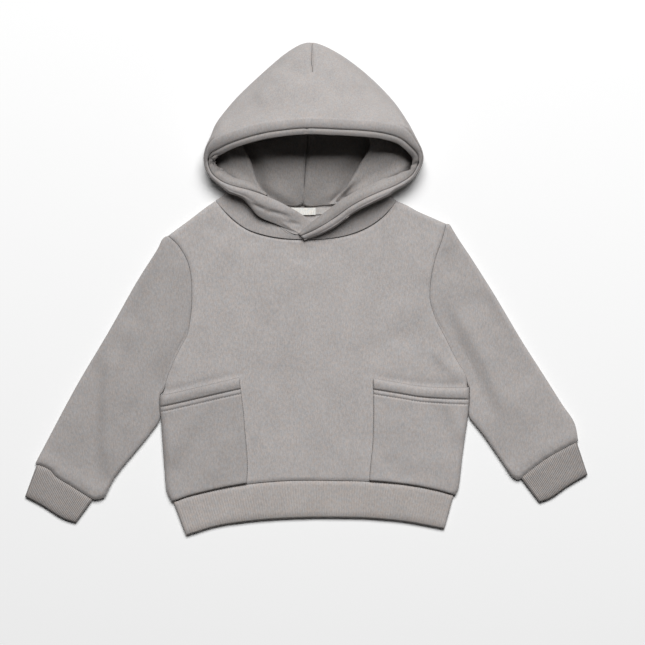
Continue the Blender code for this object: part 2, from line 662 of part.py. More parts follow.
def lining_section(row, lining, joined):
    """Points of one section of the lining, from the rim inward and down to the back layer."""
    rim = Vector((row["rim_x"], row["rim_y"]))
    fold = Vector((row["fold_x"], row["fold_y"]))
    out = (fold - rim).normalized()
    width = (fold - rim).length
    facing, drop, top = lining["facing"], lining["drop"], row["rim_z"]
    end = Vector((lining["end_x"], lining["end_y"]))
    points = [(-0.35, top - 0.3), (-0.4 * facing, top + 0.5), (-0.8 * facing, top - 0.5 * drop),
              (-facing, top - drop - 1)]
    if not joined:
        bottom = LAP_FLOOR if row["sewn"] in LAPPED else LINING_FLOOR
        last = -0.8 * facing
        for i in range(1, HANG_STEPS + 1):
            share = i / HANG_STEPS
            points.append((-facing + (facing + last) * share ** 2,
                           top - drop - 1 - (top - drop - 1 - bottom) * share))
        return [Vector((*(rim + out * at), z)) for at, z in points]
    tent = ease((width - TENT_FROM) / TENT_OVER)
    turn = width - TURN_INSET - TURN_TENT * tent
    points.append((-0.7 * facing, top - 6))
    turn_z = TURN_HEIGHT - TURN_SINK * tent
    start_t, start_z = points[-1]
    for share in (.35, .7, 1):
        points.append((start_t + (turn - start_t) * share, start_z + (turn_z - start_z) * share))
    points.append((turn - 1.2, LINING_FLOOR))
    placed = [Vector((*(rim + out * at), z)) for at, z in points]
    start = placed[-1].xy
    edge = lobe_share(start, end)
    for share in (edge * .35, edge * .75, edge, edge + .07, edge + .14, (edge + 1.14) / 2, 1):
        spot = start.lerp(end, share)
        rise = lobe_rise(spot) * ease((spot - start).length / LOBE_CLIMB)
        placed.append(Vector((*spot, LINING_FLOOR + rise)))
    return placed


def hood_lining(cloth):
    right = sections(HOOD_COLUMNS, HOOD_RIGHT)[3:]
    left = sections(HOOD_COLUMNS, HOOD_LEFT)
    crown = dict(zip(HOOD_COLUMNS, HOOD_CROWN))
    rows = [(row, lining) for row, lining in zip(right, sections(LINING_COLUMNS, LINING_RIGHT))]
    rows.append((crown, dict(zip(LINING_COLUMNS, LINING_CROWN))))
    rows += list(zip(left, sections(LINING_COLUMNS, LINING_LEFT)))[::-1]
    placed = [lining_section(row, lining, row["sewn"] > 1) for row, lining in rows]
    mesh = grid(len(placed), len(placed[0]), lambda column, row: placed[column][-1 - row])
    add_piece("hood_lining", mesh, cloth, LINING_WALL)


def neck_trim(name, span, depth, top, cloth):
    """A strip that hangs from the back neckline onto the back panel."""
    neck = Edge(NECK_BACK)
    columns = 9
    rows = 3

    def place(column, row):
        x = span[0] + (span[1] - span[0]) * column / (columns - 1)
        at = neck.at((x + 107) / 213)
        return at.x, at.y - 0.6 - depth * (1 - row / (rows - 1)), top

    add_piece(name, grid(columns, rows, place), cloth, TRIM_WALL)


# ------------------------------------------------------------------ garment

for old in list(bpy.data.objects):
    bpy.data.objects.remove(old, do_unlink=True)
garment = bpy.data.collections.new("toddler_hoodie")
bpy.context.scene.collection.children.link(garment)

cloths = {name: material(name) for name in COLOURS}
front_panel(cloths["fleece"])
back_panel(cloths["fleece"])
sleeves(cloths["fleece"])
ribbed_bands(cloths["rib"])
pockets(cloths["fleece"])
hood_outer(cloths["fleece"])
hood_lining(cloths["lining"])
neck_trim("neck_tape", TAPE_SPAN, TAPE_DEPTH, TRIM_LOW + TRIM_WALL, cloths["tape"])
neck_trim("neck_label", LABEL_SPAN, LABEL_DEPTH, TRIM_LOW + 2 * TRIM_WALL + LAYER_GAP,
          cloths["label"])
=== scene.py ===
import math

import bmesh
import bpy
import numpy as np
from mathutils import Matrix, Vector, noise


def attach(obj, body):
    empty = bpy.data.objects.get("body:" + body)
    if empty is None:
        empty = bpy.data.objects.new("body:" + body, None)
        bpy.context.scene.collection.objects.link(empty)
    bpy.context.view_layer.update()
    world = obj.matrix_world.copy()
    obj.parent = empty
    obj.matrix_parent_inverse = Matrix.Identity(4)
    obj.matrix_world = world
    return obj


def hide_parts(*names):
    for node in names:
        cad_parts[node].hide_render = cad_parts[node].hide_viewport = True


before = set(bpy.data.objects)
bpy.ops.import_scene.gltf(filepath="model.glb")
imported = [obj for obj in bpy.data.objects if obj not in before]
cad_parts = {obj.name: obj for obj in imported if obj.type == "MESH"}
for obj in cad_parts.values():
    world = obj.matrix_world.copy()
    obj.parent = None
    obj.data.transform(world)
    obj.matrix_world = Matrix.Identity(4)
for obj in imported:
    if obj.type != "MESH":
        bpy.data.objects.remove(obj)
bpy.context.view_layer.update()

# ------------ Back
# One panel of heavy brushed fleece that lies face down on the table. Its sides are folded round to
# the front, and its top edge is sewn to the hood. Sizes are in millimetres on the table, counted
# from the middle of the laid garment: +x to the wearer's left, +y to the crown of the hood.
MM = 0.001
WALL = 2.2
SEAM_GAP = 0.3
HEM_SEAM = ((-157, -251), (-137, -244), (-103, -236), (-68, -230), (-21, -226), (26, -226),
            (72, -227), (119, -231), (152, -237), (174, -243))
SIDE_RIGHT = ((-157, -251), (-163, -237), (-165, -215), (-167, -189), (-169, -160), (-171, -136),
              (-169.7, -124), (-167, -117))
SIDE_LEFT = ((174, -243), (178, -232), (182, -198), (185, -176), (188, -155), (190, -131),
             (190, -110))
ARMHOLE_RIGHT = ((-167, -117), (-166, -110), (-159, -91), (-149, -70), (-140, -52), (-136, -28),
                 (-135, -6), (-136, 14), (-140, 32), (-150, 50), (-163, 63))
ARMHOLE_LEFT = ((190, -110), (187, -99), (177, -83), (165, -59), (155, -40), (150, -28),
                (146, -12), (147, 11), (152, 35), (160, 58), (165, 77))
SHOULDER_RIGHT = ((-163, 63), (-144, 77), (-132, 86), (-119, 96), (-107, 104))
SHOULDER_LEFT = ((106, 104), (118, 99), (133, 91), (149, 84), (165, 77))
NECK_BACK = ((-107, 104), (-61, 98), (0, 95), (57, 98), (106, 104))
SIDE_SHARE = 0.42  # of a side's length below the armhole
SHOULDER_SHARE = 0.17  # of the top edge on each shoulder
# how the nap and the melange of the yarn vary the colour of the fleece
DARK_NAP = 0.75
LIGHT_NAP = 1.25
WARM_TINT = (1.035, 0.995, 0.965, 1)
COOL_TINT = (0.965, 1.0, 1.03, 1)
# noises in the cloth: waves to the metre, detail, roughness
WALES = (780.0, 2.0, 0.5)
NAP = (860.0, 4.0, 0.75)
PATCHES = (28.0, 3.0, 0.5)
MELANGE = (260.0, 3.0, 0.6)
PATCH_WEIGHT = 0.45
SURFACE = {"Roughness": 0.95, "Specular IOR Level": 0.2, "Sheen Weight": 0.05,
           "Sheen Roughness": 0.6}
BACK_GRID = 70


def smooth_line(points, steps=10):
    """The points with others between them on a smooth curve."""
    p = np.array(points, float)
    p = np.vstack([2 * p[0] - p[1], p, 2 * p[-1] - p[-2]])
    t = (np.arange(steps) / steps)[:, None]
    stretches = []
    for a, b, c, d in zip(p, p[1:], p[2:], p[3:]):
        stretches.append(0.5 * (2 * b + (c - a) * t + (2 * a - 5 * b + 4 * c - d) * t ** 2
                                + (3 * b - 3 * c + d - a) * t ** 3))
    return np.vstack([*stretches, p[-2]])


class Edge:
    """A drawn edge: smooth stretches that join at corners, each holding its share of the whole."""

    def __init__(self, *stretches, shares=(1,)):
        self.lines = [smooth_line(points) for points in stretches]
        self.shares = shares

    def moved(self, distance):
        """The same edge moved to its left by a distance."""
        line = np.vstack(self.lines)
        i = np.arange(len(line))
        way = line[np.minimum(i + 2, len(line) - 1)] - line[np.maximum(i - 2, 0)]
        way /= np.linalg.norm(way, axis=1, keepdims=True)
        shifted = line + np.column_stack([-way[:, 1], way[:, 0]]) * distance
        edge = Edge.__new__(Edge)
        edge.shares = self.shares
        edge.lines = np.split(shifted, np.cumsum([len(part) for part in self.lines])[:-1])
        return edge

    def at(self, share):
        """The points at shares of the way along, each stretch measured by its length."""
        share = np.clip(np.asarray(share, float), 0, 1)
        points = np.zeros(share.shape + (2,))
        start = 0
        for line, end in zip(self.lines, self.shares):
            run = np.cumsum(np.linalg.norm(np.diff(line, axis=0, prepend=line[:1]), axis=1))
            here = (share >= start) & (share <= end)
            local = (share - start) / (end - start)
            for axis in (0, 1):
                found = np.interp(local, run / run[-1], line[:, axis])
                points[..., axis] = np.where(here, found, points[..., axis])
            start = end
        return points

    def away(self, x, y):
        """How far points lie from the edge."""
        best = np.full(np.shape(x), 1e9)
        for line in self.lines:
            for (ax, ay), (bx, by) in zip(line[:-1], line[1:]):
                run_x, run_y = bx - ax, by - ay
                square = max(run_x * run_x + run_y * run_y, 1e-9)
                share = np.clip(((x - ax) * run_x + (y - ay) * run_y) / square, 0, 1)
                off = np.hypot(x - ax - run_x * share, y - ay - run_y * share)
                best = np.minimum(best, off)
        return best


def between(bottom, top, left, right, u, v):
    """Points of a panel inside four edges, u from left to right and v upward, both 0 to 1."""
    u1, v1 = u[..., None], v[..., None]
    across = bottom.at(u) * (1 - v1) + top.at(u) * v1
    up = left.at(v) * (1 - u1) + right.at(v) * u1
    low = bottom.at(0.0) * (1 - u1) + bottom.at(1.0) * u1
    high = top.at(0.0) * (1 - u1) + top.at(1.0) * u1
    return across + up - low * (1 - v1) - high * v1


def crowded(count, pull=0.75):
    """Shares from 0 to 1 that stand closer together near both ends."""
    t = np.linspace(0, 1, count)
    return t - pull * np.sin(2 * math.pi * t) / (2 * math.pi)


def finished_mesh(name, form):
    """A smooth mesh made of a bmesh, which is then freed."""
    data = bpy.data.meshes.new(name)
    form.to_mesh(data)
    form.free()
    data.shade_smooth()
    return data


def new_object(name, data):
    """A new object in the scene."""
    made = bpy.data.objects.new(name, data)
    bpy.context.scene.collection.objects.link(made)
    return made


def lay_cloth(name, points, cloth, node, wall=WALL, closed=False, ribs=None):
    """A piece of cloth in place of its plain solid: a bmesh grid moved onto a table of points, in
    millimetres, with its wall grown inward. A knit also keeps how high each point stands on its
    rib, from 0 to 1, which its material uses to paint shade between the ribs."""
    rows, columns = points.shape[:2]
    grid = bmesh.new()
    bmesh.ops.create_grid(grid, x_segments=columns - 1, y_segments=rows - 1, size=0.5)
    on_rib = grid.verts.layers.float.new("on_rib")
    for vertex in grid.verts:
        column = round((vertex.co.x + 0.5) * (columns - 1))
        row = round((vertex.co.y + 0.5) * (rows - 1))
        vertex.co = points[row, column] * MM
        vertex[on_rib] = 1 if ribs is None else ribs[row, column]
    if closed:
        bmesh.ops.remove_doubles(grid, verts=grid.verts, dist=1e-7)
    piece = new_object(name, finished_mesh(name, grid))
    piece.data.materials.append(cloth)
    solid = piece.modifiers.new("wall", "SOLIDIFY")
    solid.thickness = wall * MM
    solid.offset = -1
    solid.use_quality_normals = True
    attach(piece, "root")
    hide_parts(node)
    return piece


def shader_node(tree, kind, links=(), **settings):
    """A node with its settings, its inputs linked or given by name."""
    node = tree.nodes.new("ShaderNode" + kind)
    for name, value in settings.items():
        setattr(node, name, value)
    for name, value in dict(links).items():
        if isinstance(value, bpy.types.NodeSocket):
            tree.links.new(value, node.inputs[name])
        else:
            node.inputs[name].default_value = value
    return node


def soft_noise(tree, where, scale, detail, roughness):
    """The strength of a noise, scale waves to the metre."""
    inputs = {"Vector": where, "Scale": scale, "Detail": detail, "Roughness": roughness}
    return shader_node(tree, "TexNoise", inputs).outputs["Fac"]


def colour_mix(tree, factor, first, second, way="MIX"):
    """The colour that a node mixes from two others."""
    inputs = {"Factor": factor, "A": first, "B": second}
    return shader_node(tree, "Mix", inputs, data_type="RGBA", blend_type=way).outputs["Result"]


def fleece_material(name, colour, grain=0.0, nap=1.0, shade=1.0, painted_rib_shade=1.0):
    """Brushed cotton fleece: a short matted nap over fine knit wales that run along the grain. The
    colour is scaled by shade, a factor of painted light and shade for each piece: below 1 it
    paints shade, above 1 light. Rib knit gets painted shade between its ribs, darker where a point
    stands low on its rib."""
    # painted light and shade: the colour scaled by this piece's factor
    colour = [value * shade for value in colour]
    made = bpy.data.materials.new(name)
    made.use_nodes = True
    tree = made.node_tree
    shader = tree.nodes["Principled BSDF"]
    where = shader_node(tree, "TexCoord").outputs["Object"]
    along = shader_node(tree, "Mapping", {
        "Vector": where, "Rotation": (0, 0, -math.radians(grain)), "Scale": (1.0, 0.33, 1.0)})
    wales = soft_noise(tree, along.outputs[0], *WALES)
    hairs = soft_noise(tree, where, *NAP)
    both = shader_node(tree, "Math", {0: wales, 1: hairs}, operation="ADD")
    patches = soft_noise(tree, where, *PATCHES)
    tone = shader_node(tree, "Math", {
        0: patches, 1: PATCH_WEIGHT, 2: both.outputs[0]}, operation="MULTIPLY_ADD")
    share = shader_node(tree, "MapRange", {
        "Value": tone.outputs[0], "From Min": 0.75, "From Max": 1.7})
    dark = (*(value * DARK_NAP for value in colour), 1)
    light = (*(min(value * LIGHT_NAP, 1) for value in colour), 1)
    brushed = colour_mix(tree, share.outputs[0], dark, light)
    melange = soft_noise(tree, where, *MELANGE)
    hue = shader_node(tree, "MapRange", {"Value": melange, "From Min": 0.35, "From Max": 0.65})
    tint = colour_mix(tree, hue.outputs[0], WARM_TINT, COOL_TINT)
    dyed = colour_mix(tree, 1.0, brushed, tint, "MULTIPLY")
    # painted shade between the ribs: the colour falls to the given factor where a point stands
    # lowest on its rib
    if painted_rib_shade < 1:
        height = shader_node(tree, "Attribute", attribute_name="on_rib")
        lit = shader_node(tree, "MapRange", {
            "Value": height.outputs["Fac"], "To Min": painted_rib_shade, "To Max": 1.0})
        dyed = colour_mix(tree, 1.0, dyed, lit.outputs["Result"], "MULTIPLY")
    tree.links.new(dyed, shader.inputs["Base Color"])
    bump = shader_node(tree, "Bump", {
        "Strength": 0.5 * nap, "Distance": 0.0004, "Height": both.outputs[0]})
    tree.links.new(bump.outputs[0], shader.inputs["Normal"])
    for setting, value in SURFACE.items():
        shader.inputs[setting].default_value = value
    return made


half_gap = SEAM_GAP / 2
hem_edge = Edge(HEM_SEAM).moved(half_gap)
right_edge = Edge(SIDE_RIGHT, ARMHOLE_RIGHT, shares=(SIDE_SHARE, 1)).moved(-half_gap)
left_edge = Edge(SIDE_LEFT, ARMHOLE_LEFT, shares=(SIDE_SHARE, 1)).moved(half_gap)
top_shares = (SHOULDER_SHARE, 1 - SHOULDER_SHARE, 1)
back_top = Edge(SHOULDER_RIGHT, NECK_BACK, SHOULDER_LEFT, shares=top_shares).moved(-half_gap)
FLEECE_GREY = (0.40, 0.376, 0.366)
fleece = fleece_material("brushed_fleece", FLEECE_GREY)

u, v = np.meshgrid(crowded(BACK_GRID), crowded(BACK_GRID))
place = between(hem_edge, back_top, right_edge, left_edge, 1 - u, v)
back_points = np.dstack([place, np.zeros_like(u)])
back = lay_cloth("back_fleece", back_points, fleece, "back_panel")

# ------------ Front
# The front is cut from the same fleece and lies on the back. It rolls down at the side folds and
# shoulders, and sinks a little where it is sewn to the sleeves, the hood and the hem rib.
BODY_TOP = 7.2
FRONT_LOW = 3.7
FRONT_SLACK = 0.5
FOLD_REACH = 6.0
NECK_FRONT = ((-107, 104), (-97, 92), (-85, 80), (-64, 67), (-33, 60), (-7, 58), (16, 58),
              (40, 61), (62, 67), (82, 78), (96, 90), (106, 104))
# from x, y to x, y; bow to the left of that way; half width on the left and right; rise
FRONT_CREASES = (
    (-104, 8, -99, -62, 3, 15, 12, -1), (-74, 12, -70, -40, -2, 10, 14, -0.6),
    (-32, -88, -24, -168, 4, 22, 18, -0.8), (-133, -30, -156, -98, -4, 9, 7, 1.8),
    (-118, 78, -96, 62, 0, 9, 9, -1.1), (-80, 56, 2, 40, 10, 8, 14, -1),
    (4, 52, -6, 30, 0, 12, 12, -1), (66, 44, 84, 20, 0, 14, 14, -0.5),
    (96, -52, 160, -96, 8, 26, 16, -1.9), (150, -70, 182, -104, -2, 10, 7, 1.7),
    (70, -64, 104, -84, 0, 12, 12, -0.7), (112, 60, 150, 10, -6, 18, 14, 1.3),
    (-20, -120, 16, -212, 0, 22, 20, -0.6), (44, 30, 30, -130, 6, 26, 26, 1),
    (-168, -122, -80, -101, 0, 4.5, 3, -1.5), (80, -102, 188, -113, -3.8, 4.5, 3, -1.5),
)
# a crease runs on past its two points by one share of its length, and fades over another
CREASE_PAST = 0.15
CREASE_FADE = 0.35
# unevenness of the laid cloth: height, size of its waves, seed
BODY_UNEVEN = ((0.35, 46, 3), (0.12, 13, 7))
# how far a seam draws the cloth down, and over what width
ARMHOLE_SINK = (1.5, 4.5)
NECK_SINK = (1.5, 4)
HEM_SINK = (1.6, 5)
# puckers in a strip beside a seam: height, size of their waves, seed
HEM_PUCKERS = (0.35, 5.5, 11)
NECK_PUCKERS = (0.2, 6, 12)
PUCKER_STRIP = 4


def ease(value):
    """A smooth step: 0 up to 0, 1 from 1 on."""
    value = np.clip(value, 0, 1)
    return value * value * (3 - 2 * value)


def ridge(distance, height, width, middle=0):
    """Height of a soft ridge along a line, or of a groove where the height is below 0."""
    return height * np.exp(-((distance - middle) / width) ** 2)


def waver(x, y, size, seed):
    """A gentle unevenness between -1 and 1 whose waves are about size long."""
    flat = zip(np.ravel(x) / size, np.ravel(y) / size)
    values = [noise.noise(Vector((px, py, seed))) for px, py in flat]
    return np.reshape(values, np.shape(x))


def uneven(x, y, rows):
    """Height of several unevennesses laid over each other."""
    return sum(height * waver(x, y, size, seed) for height, size, seed in rows)


def rounded(top, low, distance, reach=FOLD_REACH):
    """Height of a layer that turns down within reach of a folded edge."""
    inside = 1 - np.clip(distance / reach, 0, 1)
    return low + (top - low) * np.sqrt(1 - inside * inside)


def relief(x, y, creases):
    """Height of soft creases: troughs where the rise is below 0, ridges above it."""
    height = np.zeros_like(x)
    for x0, y0, x1, y1, bow, left, right, rise in creases:
        run = math.hypot(x1 - x0, y1 - y0)
        way_x, way_y = (x1 - x0) / run, (y1 - y0) / run
        along = ((x - x0) * way_x + (y - y0) * way_y) / run
        off = (y - y0) * way_x - (x - x0) * way_y - bow * 4 * along * (1 - along)
        width = np.where(off > 0, left, right)
        inside = np.minimum(along, 1 - along) + CREASE_PAST
        height += ease(inside / CREASE_FADE) * ridge(off, rise, width)
    return height


def sink(distance, depth, reach):
    """Fall of the cloth into a seam."""
    near = 1 - np.clip(distance / reach, 0, 1)
    return -depth * near * near


def nearest(lines, x, y):
    """How far points lie from the nearest of several edges."""
    return np.minimum.reduce([line.away(x, y) for line in lines])


def puckers(x, y, seam, row):
    """Small puckers in a strip beside a seam."""
    return uneven(x, y, [row]) * ridge(seam, 1, PUCKER_STRIP, PUCKER_STRIP)


top_edge = Edge(SHOULDER_RIGHT, NECK_FRONT, SHOULDER_LEFT, shares=top_shares).moved(-half_gap)
fold_lines = [Edge(line) for line in (SIDE_RIGHT, SIDE_LEFT, SHOULDER_RIGHT, SHOULDER_LEFT)]
armholes = [Edge(ARMHOLE_RIGHT), Edge(ARMHOLE_LEFT)]
neck_seam = Edge(NECK_FRONT)
hem_seam = Edge(HEM_SEAM)


def front_height(x, y):
    """Height of the front's outside over the table."""
    fold = nearest(fold_lines, x, y)
    sleeve_seam = nearest(armholes, x, y)
    hem = hem_seam.away(x, y)
    neck = neck_seam.away(x, y)
    top = BODY_TOP + relief(x, y, FRONT_CREASES) + uneven(x, y, BODY_UNEVEN)
    top += sink(sleeve_seam, *ARMHOLE_SINK) + sink(neck, *NECK_SINK) + sink(hem, *HEM_SINK)
    top = np.maximum(top, 2 * WALL + FRONT_SLACK)
    top += puckers(x, y, hem, HEM_PUCKERS) + puckers(x, y, neck, NECK_PUCKERS)
    return rounded(top, FRONT_LOW, fold - half_gap)


u, v = np.meshgrid(crowded(170), crowded(190))
place = between(hem_edge, top_edge, right_edge, left_edge, u, v)
height = front_height(place[..., 0], place[..., 1])
front_points = np.dstack([place, height])
front = lay_cloth("front_fleece", front_points, fleece, "front_panel")

# ------------ Sleeves
# Each sleeve is one piece of fleece sewn into a tube and pressed flat by its own weight. Long soft
# troughs run down it from the armhole, and its wide end is gathered a little into the cuff.
SLEEVE_OUTER_RIGHT = ((-163, 63), (-167, 61.5), (-171, 57), (-177, 45), (-201, 7), (-232, -48),
                      (-271, -114), (-310, -187), (-320, -206))
SLEEVE_INNER_RIGHT = ((-167, -117), (-168.4, -119.6), (-170.2, -122.4), (-172.3, -125.2),
                      (-173.0, -131), (-173.0, -142), (-172.4, -151), (-175.0, -158.5),
                      (-181, -166.5), (-189, -177), (-199, -189), (-225, -221), (-238, -246))
CUFF_SEAM_RIGHT = ((-320, -206), (-310, -209.5), (-302, -213.5), (-297.5, -218.5),
                   (-292, -223.5), (-276, -233), (-263, -241), (-251, -248), (-238, -246))
SLEEVE_OUTER_LEFT = ((165, 77), (169, 76.2), (173, 70), (181, 57), (197, 33), (224, -10),
                     (253, -59), (283, -106), (302, -136), (316, -157), (321, -179))
SLEEVE_INNER_LEFT = ((190, -110), (190.4, -112), (190.9, -114.6), (192.5, -117.5), (192.5, -125),
                     (192.1, -136), (191.3, -146), (192.6, -152), (198, -159), (210, -174),
                     (226, -197), (239, -216), (244, -223))
CUFF_SEAM_LEFT = ((321, -179), (304, -188), (286, -198), (273, -207), (259, -218), (252, -224),
                  (244, -223))
SLEEVE_SWING = 150
SLEEVE_CREASES_RIGHT = (
    (-178, 14, -213, -92, -4, 10, 13, -1.9), (-242, -66, -247, -222, -5, 11, 9, -2),
    (-228, -84, -231, -218, -4, 9, 11, 3.4), (-208, -40, -232, -96, 4, 11, 13, 2),
    (-262, -104, -290, -196, 0, 13, 14, 1.4), (-186, -76, -206, -138, 0, 9, 9, 1.2),
    (-154, 34, -160, -30, 0, 12, 10, 1),
)
SLEEVE_CREASES_LEFT = (
    (157, -20, 217, -142, 3, 11, 9, -2), (176, -24, 236, -146, 3, 13, 11, 3.2),
    (164, 48, 170, 14, 0, 10, 10, -1.3), (198, -6, 228, -48, 2, 12, 12, -1.5),
    (236, -70, 262, -112, 0, 14, 14, -1.2), (214, 8, 250, -56, 0, 12, 10, 1.4),
    (240, -120, 276, -190, 4, 14, 14, 1.5),
)
SLEEVE_UNEVEN = ((0.4, 38, 5), (0.14, 12, 9))
SLEEVE_SINK = (1.6, 4.5)
CUFF_SINK = (2.2, 5)
SLEEVE_SLACK = 0.6
# the sleeve swells beside the cuff seam: height, width and distance from the seam
CUFF_SWELL = (1.3, 8, 9)
# gathers that run up from the cuff seam: height and reach
CUFF_GATHER = (0.5, 12)
# a shallow hollow beside the armhole seam, deepest under the arm: depth and reach
SLEEVE_DIP = (-2.2, 11)


def round_tube(over, under):
    """Shares over a flattened tube and back under it, and which of them are under it."""
    is_under = np.arange(len(over) + len(under)) >= len(over)
    return np.concatenate([over, under]), is_under


def sleeve_points(seam, cuff, outer, inner, turn, creases):
    """A flattened tube of cloth in rings from the armhole to the cuff, its underside flat."""
    share, is_under = round_tube(crowded(112, 0.8), crowded(44, 0.8)[::-1][1:])
    if not turn:
        share, is_under = share[::-1], is_under[::-1]
    share, v = np.meshgrid(share, crowded(150, 0.7))
    is_under = np.broadcast_to(is_under, share.shape)
    point = between(seam, cuff, outer, inner, share, v)
    way = seam.at(np.minimum(share + 0.02, 1)) - seam.at(np.maximum(share - 0.02, 0))
    way /= np.linalg.norm(way, axis=-1, keepdims=True)
    swing = SLEEVE_SWING * np.sin(math.pi * share ** 1.6) * v * (1 - v) ** 3
    swing = -swing if turn else swing
    x = point[..., 0] + way[..., 1] * swing
    y = point[..., 1] - way[..., 0] * swing
    ring = between(seam, cuff, outer, inner, np.zeros_like(v), v)
    middle = between(seam, cuff, outer, inner, np.full_like(v, 0.5), v)
    length = 2 * np.linalg.norm(ring - middle, axis=-1)
    distance = np.minimum(share, 1 - share) * length
    armhole = seam.away(x, y)
    end = cuff.away(x, y)
    top = BODY_TOP + relief(x, y, creases) + uneven(x, y, SLEEVE_UNEVEN)
    top += ridge(end, *CUFF_SWELL) + sink(end, *CUFF_SINK) + sink(armhole, *SLEEVE_SINK)
    top += waver(share * 60, end * 0.3, 3.2, 2) * ridge(end, *CUFF_GATHER)
    top += ease(share * 2.2 - 0.9) * ridge(armhole, *SLEEVE_DIP)
    top = np.maximum(top, 2 * WALL + SLEEVE_SLACK)
    height = rounded(np.where(is_under, 0, top), top / 2, distance)
    return np.dstack([x, y, height])


# each sleeve's colour is scaled by a factor of painted shade, darker on the wearer's right sleeve
for side, armhole, cuff, outer, inner, turn, creases, grain, shade, area in (
    ("right", ARMHOLE_RIGHT, CUFF_SEAM_RIGHT, SLEEVE_OUTER_RIGHT, SLEEVE_INNER_RIGHT, False,
     SLEEVE_CREASES_RIGHT, -30, 0.87, 0.0508),
    ("left", ARMHOLE_LEFT, CUFF_SEAM_LEFT, SLEEVE_OUTER_LEFT, SLEEVE_INNER_LEFT, True,
     SLEEVE_CREASES_LEFT, 30, 0.94, 0.0447),
):
    apart = half_gap if turn else -half_gap
    points = sleeve_points(Edge(armhole[::-1]).moved(apart), Edge(cuff).moved(-apart),
                           Edge(outer), Edge(inner), turn, creases)
    name = "sleeve_" + side + "_fleece"
    cloth = fleece_material(name, FLEECE_GREY, grain, shade=shade)
    sleeve = lay_cloth(name, points, cloth, "sleeve_" + side, closed=True)

# ------------ Hem rib and cuffs
# Bands of one-by-one rib knit, sewn to the body and the sleeves as closed tubes. They are a little
# shorter than the edges they gather, so they draw in, and the ribs run across them.
RIB_TOP = 6.6
HEM_FREE = ((-142, -291), (-110, -281), (-82, -276), (-44, -272), (2, -270), (56, -270),
            (91, -272), (119, -275), (163, -283))
HEM_RIBS = 108
CUFF_TOP_RIGHT = ((-318, -206.8), (-310, -209.5), (-302, -213.5), (-297.5, -218.5),
                  (-292, -223.5), (-276, -233.2), (-263, -241.6), (-252, -248.6))
CUFF_FREE_RIGHT = ((-332, -245), (-313, -255), (-289, -270), (-272, -276))
CUFF_TOP_LEFT = ((319, -180), (304, -188), (286, -198), (273, -207), (259, -218), (253, -223.1))
CUFF_FREE_LEFT = ((332, -219), (310, -232), (290, -246), (275, -252))
CUFF_RIBS = 37
POINTS_A_RIB = 6
RIB_WALL = 1.7
RIB_UNEVEN = ((0.3, 30, 21),)
RIB_SEAM_SINK = (1.8, 5)
FREE_END_SINK = (2.3, 9)
# reach of the folded sides, and how near the sides and the free end the ribs fade out
RIB_FOLD = 4
RIB_SIDE_FADE = 3
RIB_END_FADE = 2.5


def rib_points(top, free, ribs, depth):
    """A flattened ribbed tube: the ribs stand up on its top side, the underside rests flat. With
    it comes how high each point stands on its rib."""
    left = Edge((top.lines[0][0], free.lines[0][0]))
    right = Edge((top.lines[-1][-1], free.lines[-1][-1]))
    over = np.linspace(0, 1, ribs * POINTS_A_RIB + 1)
    share, is_under = round_tube(over, np.linspace(1, 0, 61)[1:])
    share, v = np.meshgrid(share, np.linspace(0, 1, 22))
    is_under = np.broadcast_to(is_under, share.shape)
    point = between(top, free, left, right, share, v)
    x, y = point[..., 0], point[..., 1]
    length = np.linalg.norm(top.at(0.0) - top.at(1.0))
    distance = np.minimum(share, 1 - share) * length
    end = free.away(x, y)
    rib = np.abs(np.sin(math.pi * share * ribs)) ** 0.8
    rib *= ease(distance / RIB_SIDE_FADE) * ease(end / RIB_END_FADE)
    crown = RIB_TOP - depth / 2 + depth * rib + uneven(x, y, RIB_UNEVEN)
    crown += sink(top.away(x, y), *RIB_SEAM_SINK) + sink(end, *FREE_END_SINK)
    height = rounded(np.where(is_under, 0, crown), RIB_TOP / 2, distance, RIB_FOLD)
    return np.dstack([x, y, height])[::-1], rib[::-1]


RIB_GREY = (0.36, 0.334, 0.32)
# per band: a colour factor of painted light, more on the hem than on the cuffs, then the painted
# shade left between its ribs
for node, top, free, ribs, depth, shade, dark, flat, area in (
    ("hem_rib", Edge(HEM_SEAM).moved(-half_gap), Edge(HEM_FREE), HEM_RIBS, 0.32, 1.14, 0.91,
     (0.66, 0.05), 0.0286),
    ("cuff_right", Edge(CUFF_TOP_RIGHT).moved(-half_gap), Edge(CUFF_FREE_RIGHT), CUFF_RIBS, 0.8,
     1.09, 0.46, (0.165, 0.045), 0.0068),
    ("cuff_left", Edge(CUFF_TOP_LEFT).moved(half_gap), Edge(CUFF_FREE_LEFT), CUFF_RIBS, 0.8,
     1.10, 0.46, (0.165, 0.045), 0.0070),
):
    points, heights = rib_points(top, free, ribs, depth)
    if node == "cuff_left":
        points, heights = points[:, ::-1], heights[:, ::-1]
    name = node + "_knit"
    knit = fleece_material(name, RIB_GREY, nap=0.8, shade=shade, painted_rib_shade=dark)
    band = lay_cloth(name, points, knit, node, RIB_WALL, closed=True, ribs=heights)

# ------------ Pockets
# Two big patch pockets of fleece, caught in the side seams and the hem. Each mouth is folded in
# and held by two rows of stitches, so it stands up as a padded roll.
POCKET_MOUTH_RIGHT = ((-79, -104), (-100, -109), (-121, -114), (-142, -119), (-170, -125))
POCKET_INNER_RIGHT = ((-70, -229), (-69, -210), (-70, -189), (-72, -168), (-74, -143),
                      (-79, -104))
POCKET_MOUTH_LEFT = ((79, -105), (103, -109), (122, -113), (142, -115), (161, -116), (190, -116))
POCKET_INNER_LEFT = ((74, -226), (76, -203), (78, -184), (79, -159), (79, -135), (79, -105))
POCKET_HEIGHT = 112.0
MOUTH_FOLD = 12.5
STITCH_SPACE = 5.0
STITCH_LINES = (MOUTH_FOLD, MOUTH_FOLD + STITCH_SPACE)
STITCH_GROOVE = (-1.1, 1)
MOUTH_PUFF = 3.0
MOUTH_PUCKERS = (0.2, 6, 31)
# beads almost end to end along each pocket's inner edge: edge stitches that also paint the shadow
# line at that edge
EDGE_STITCHES_AND_SHADOW = (2.4, 2.2)
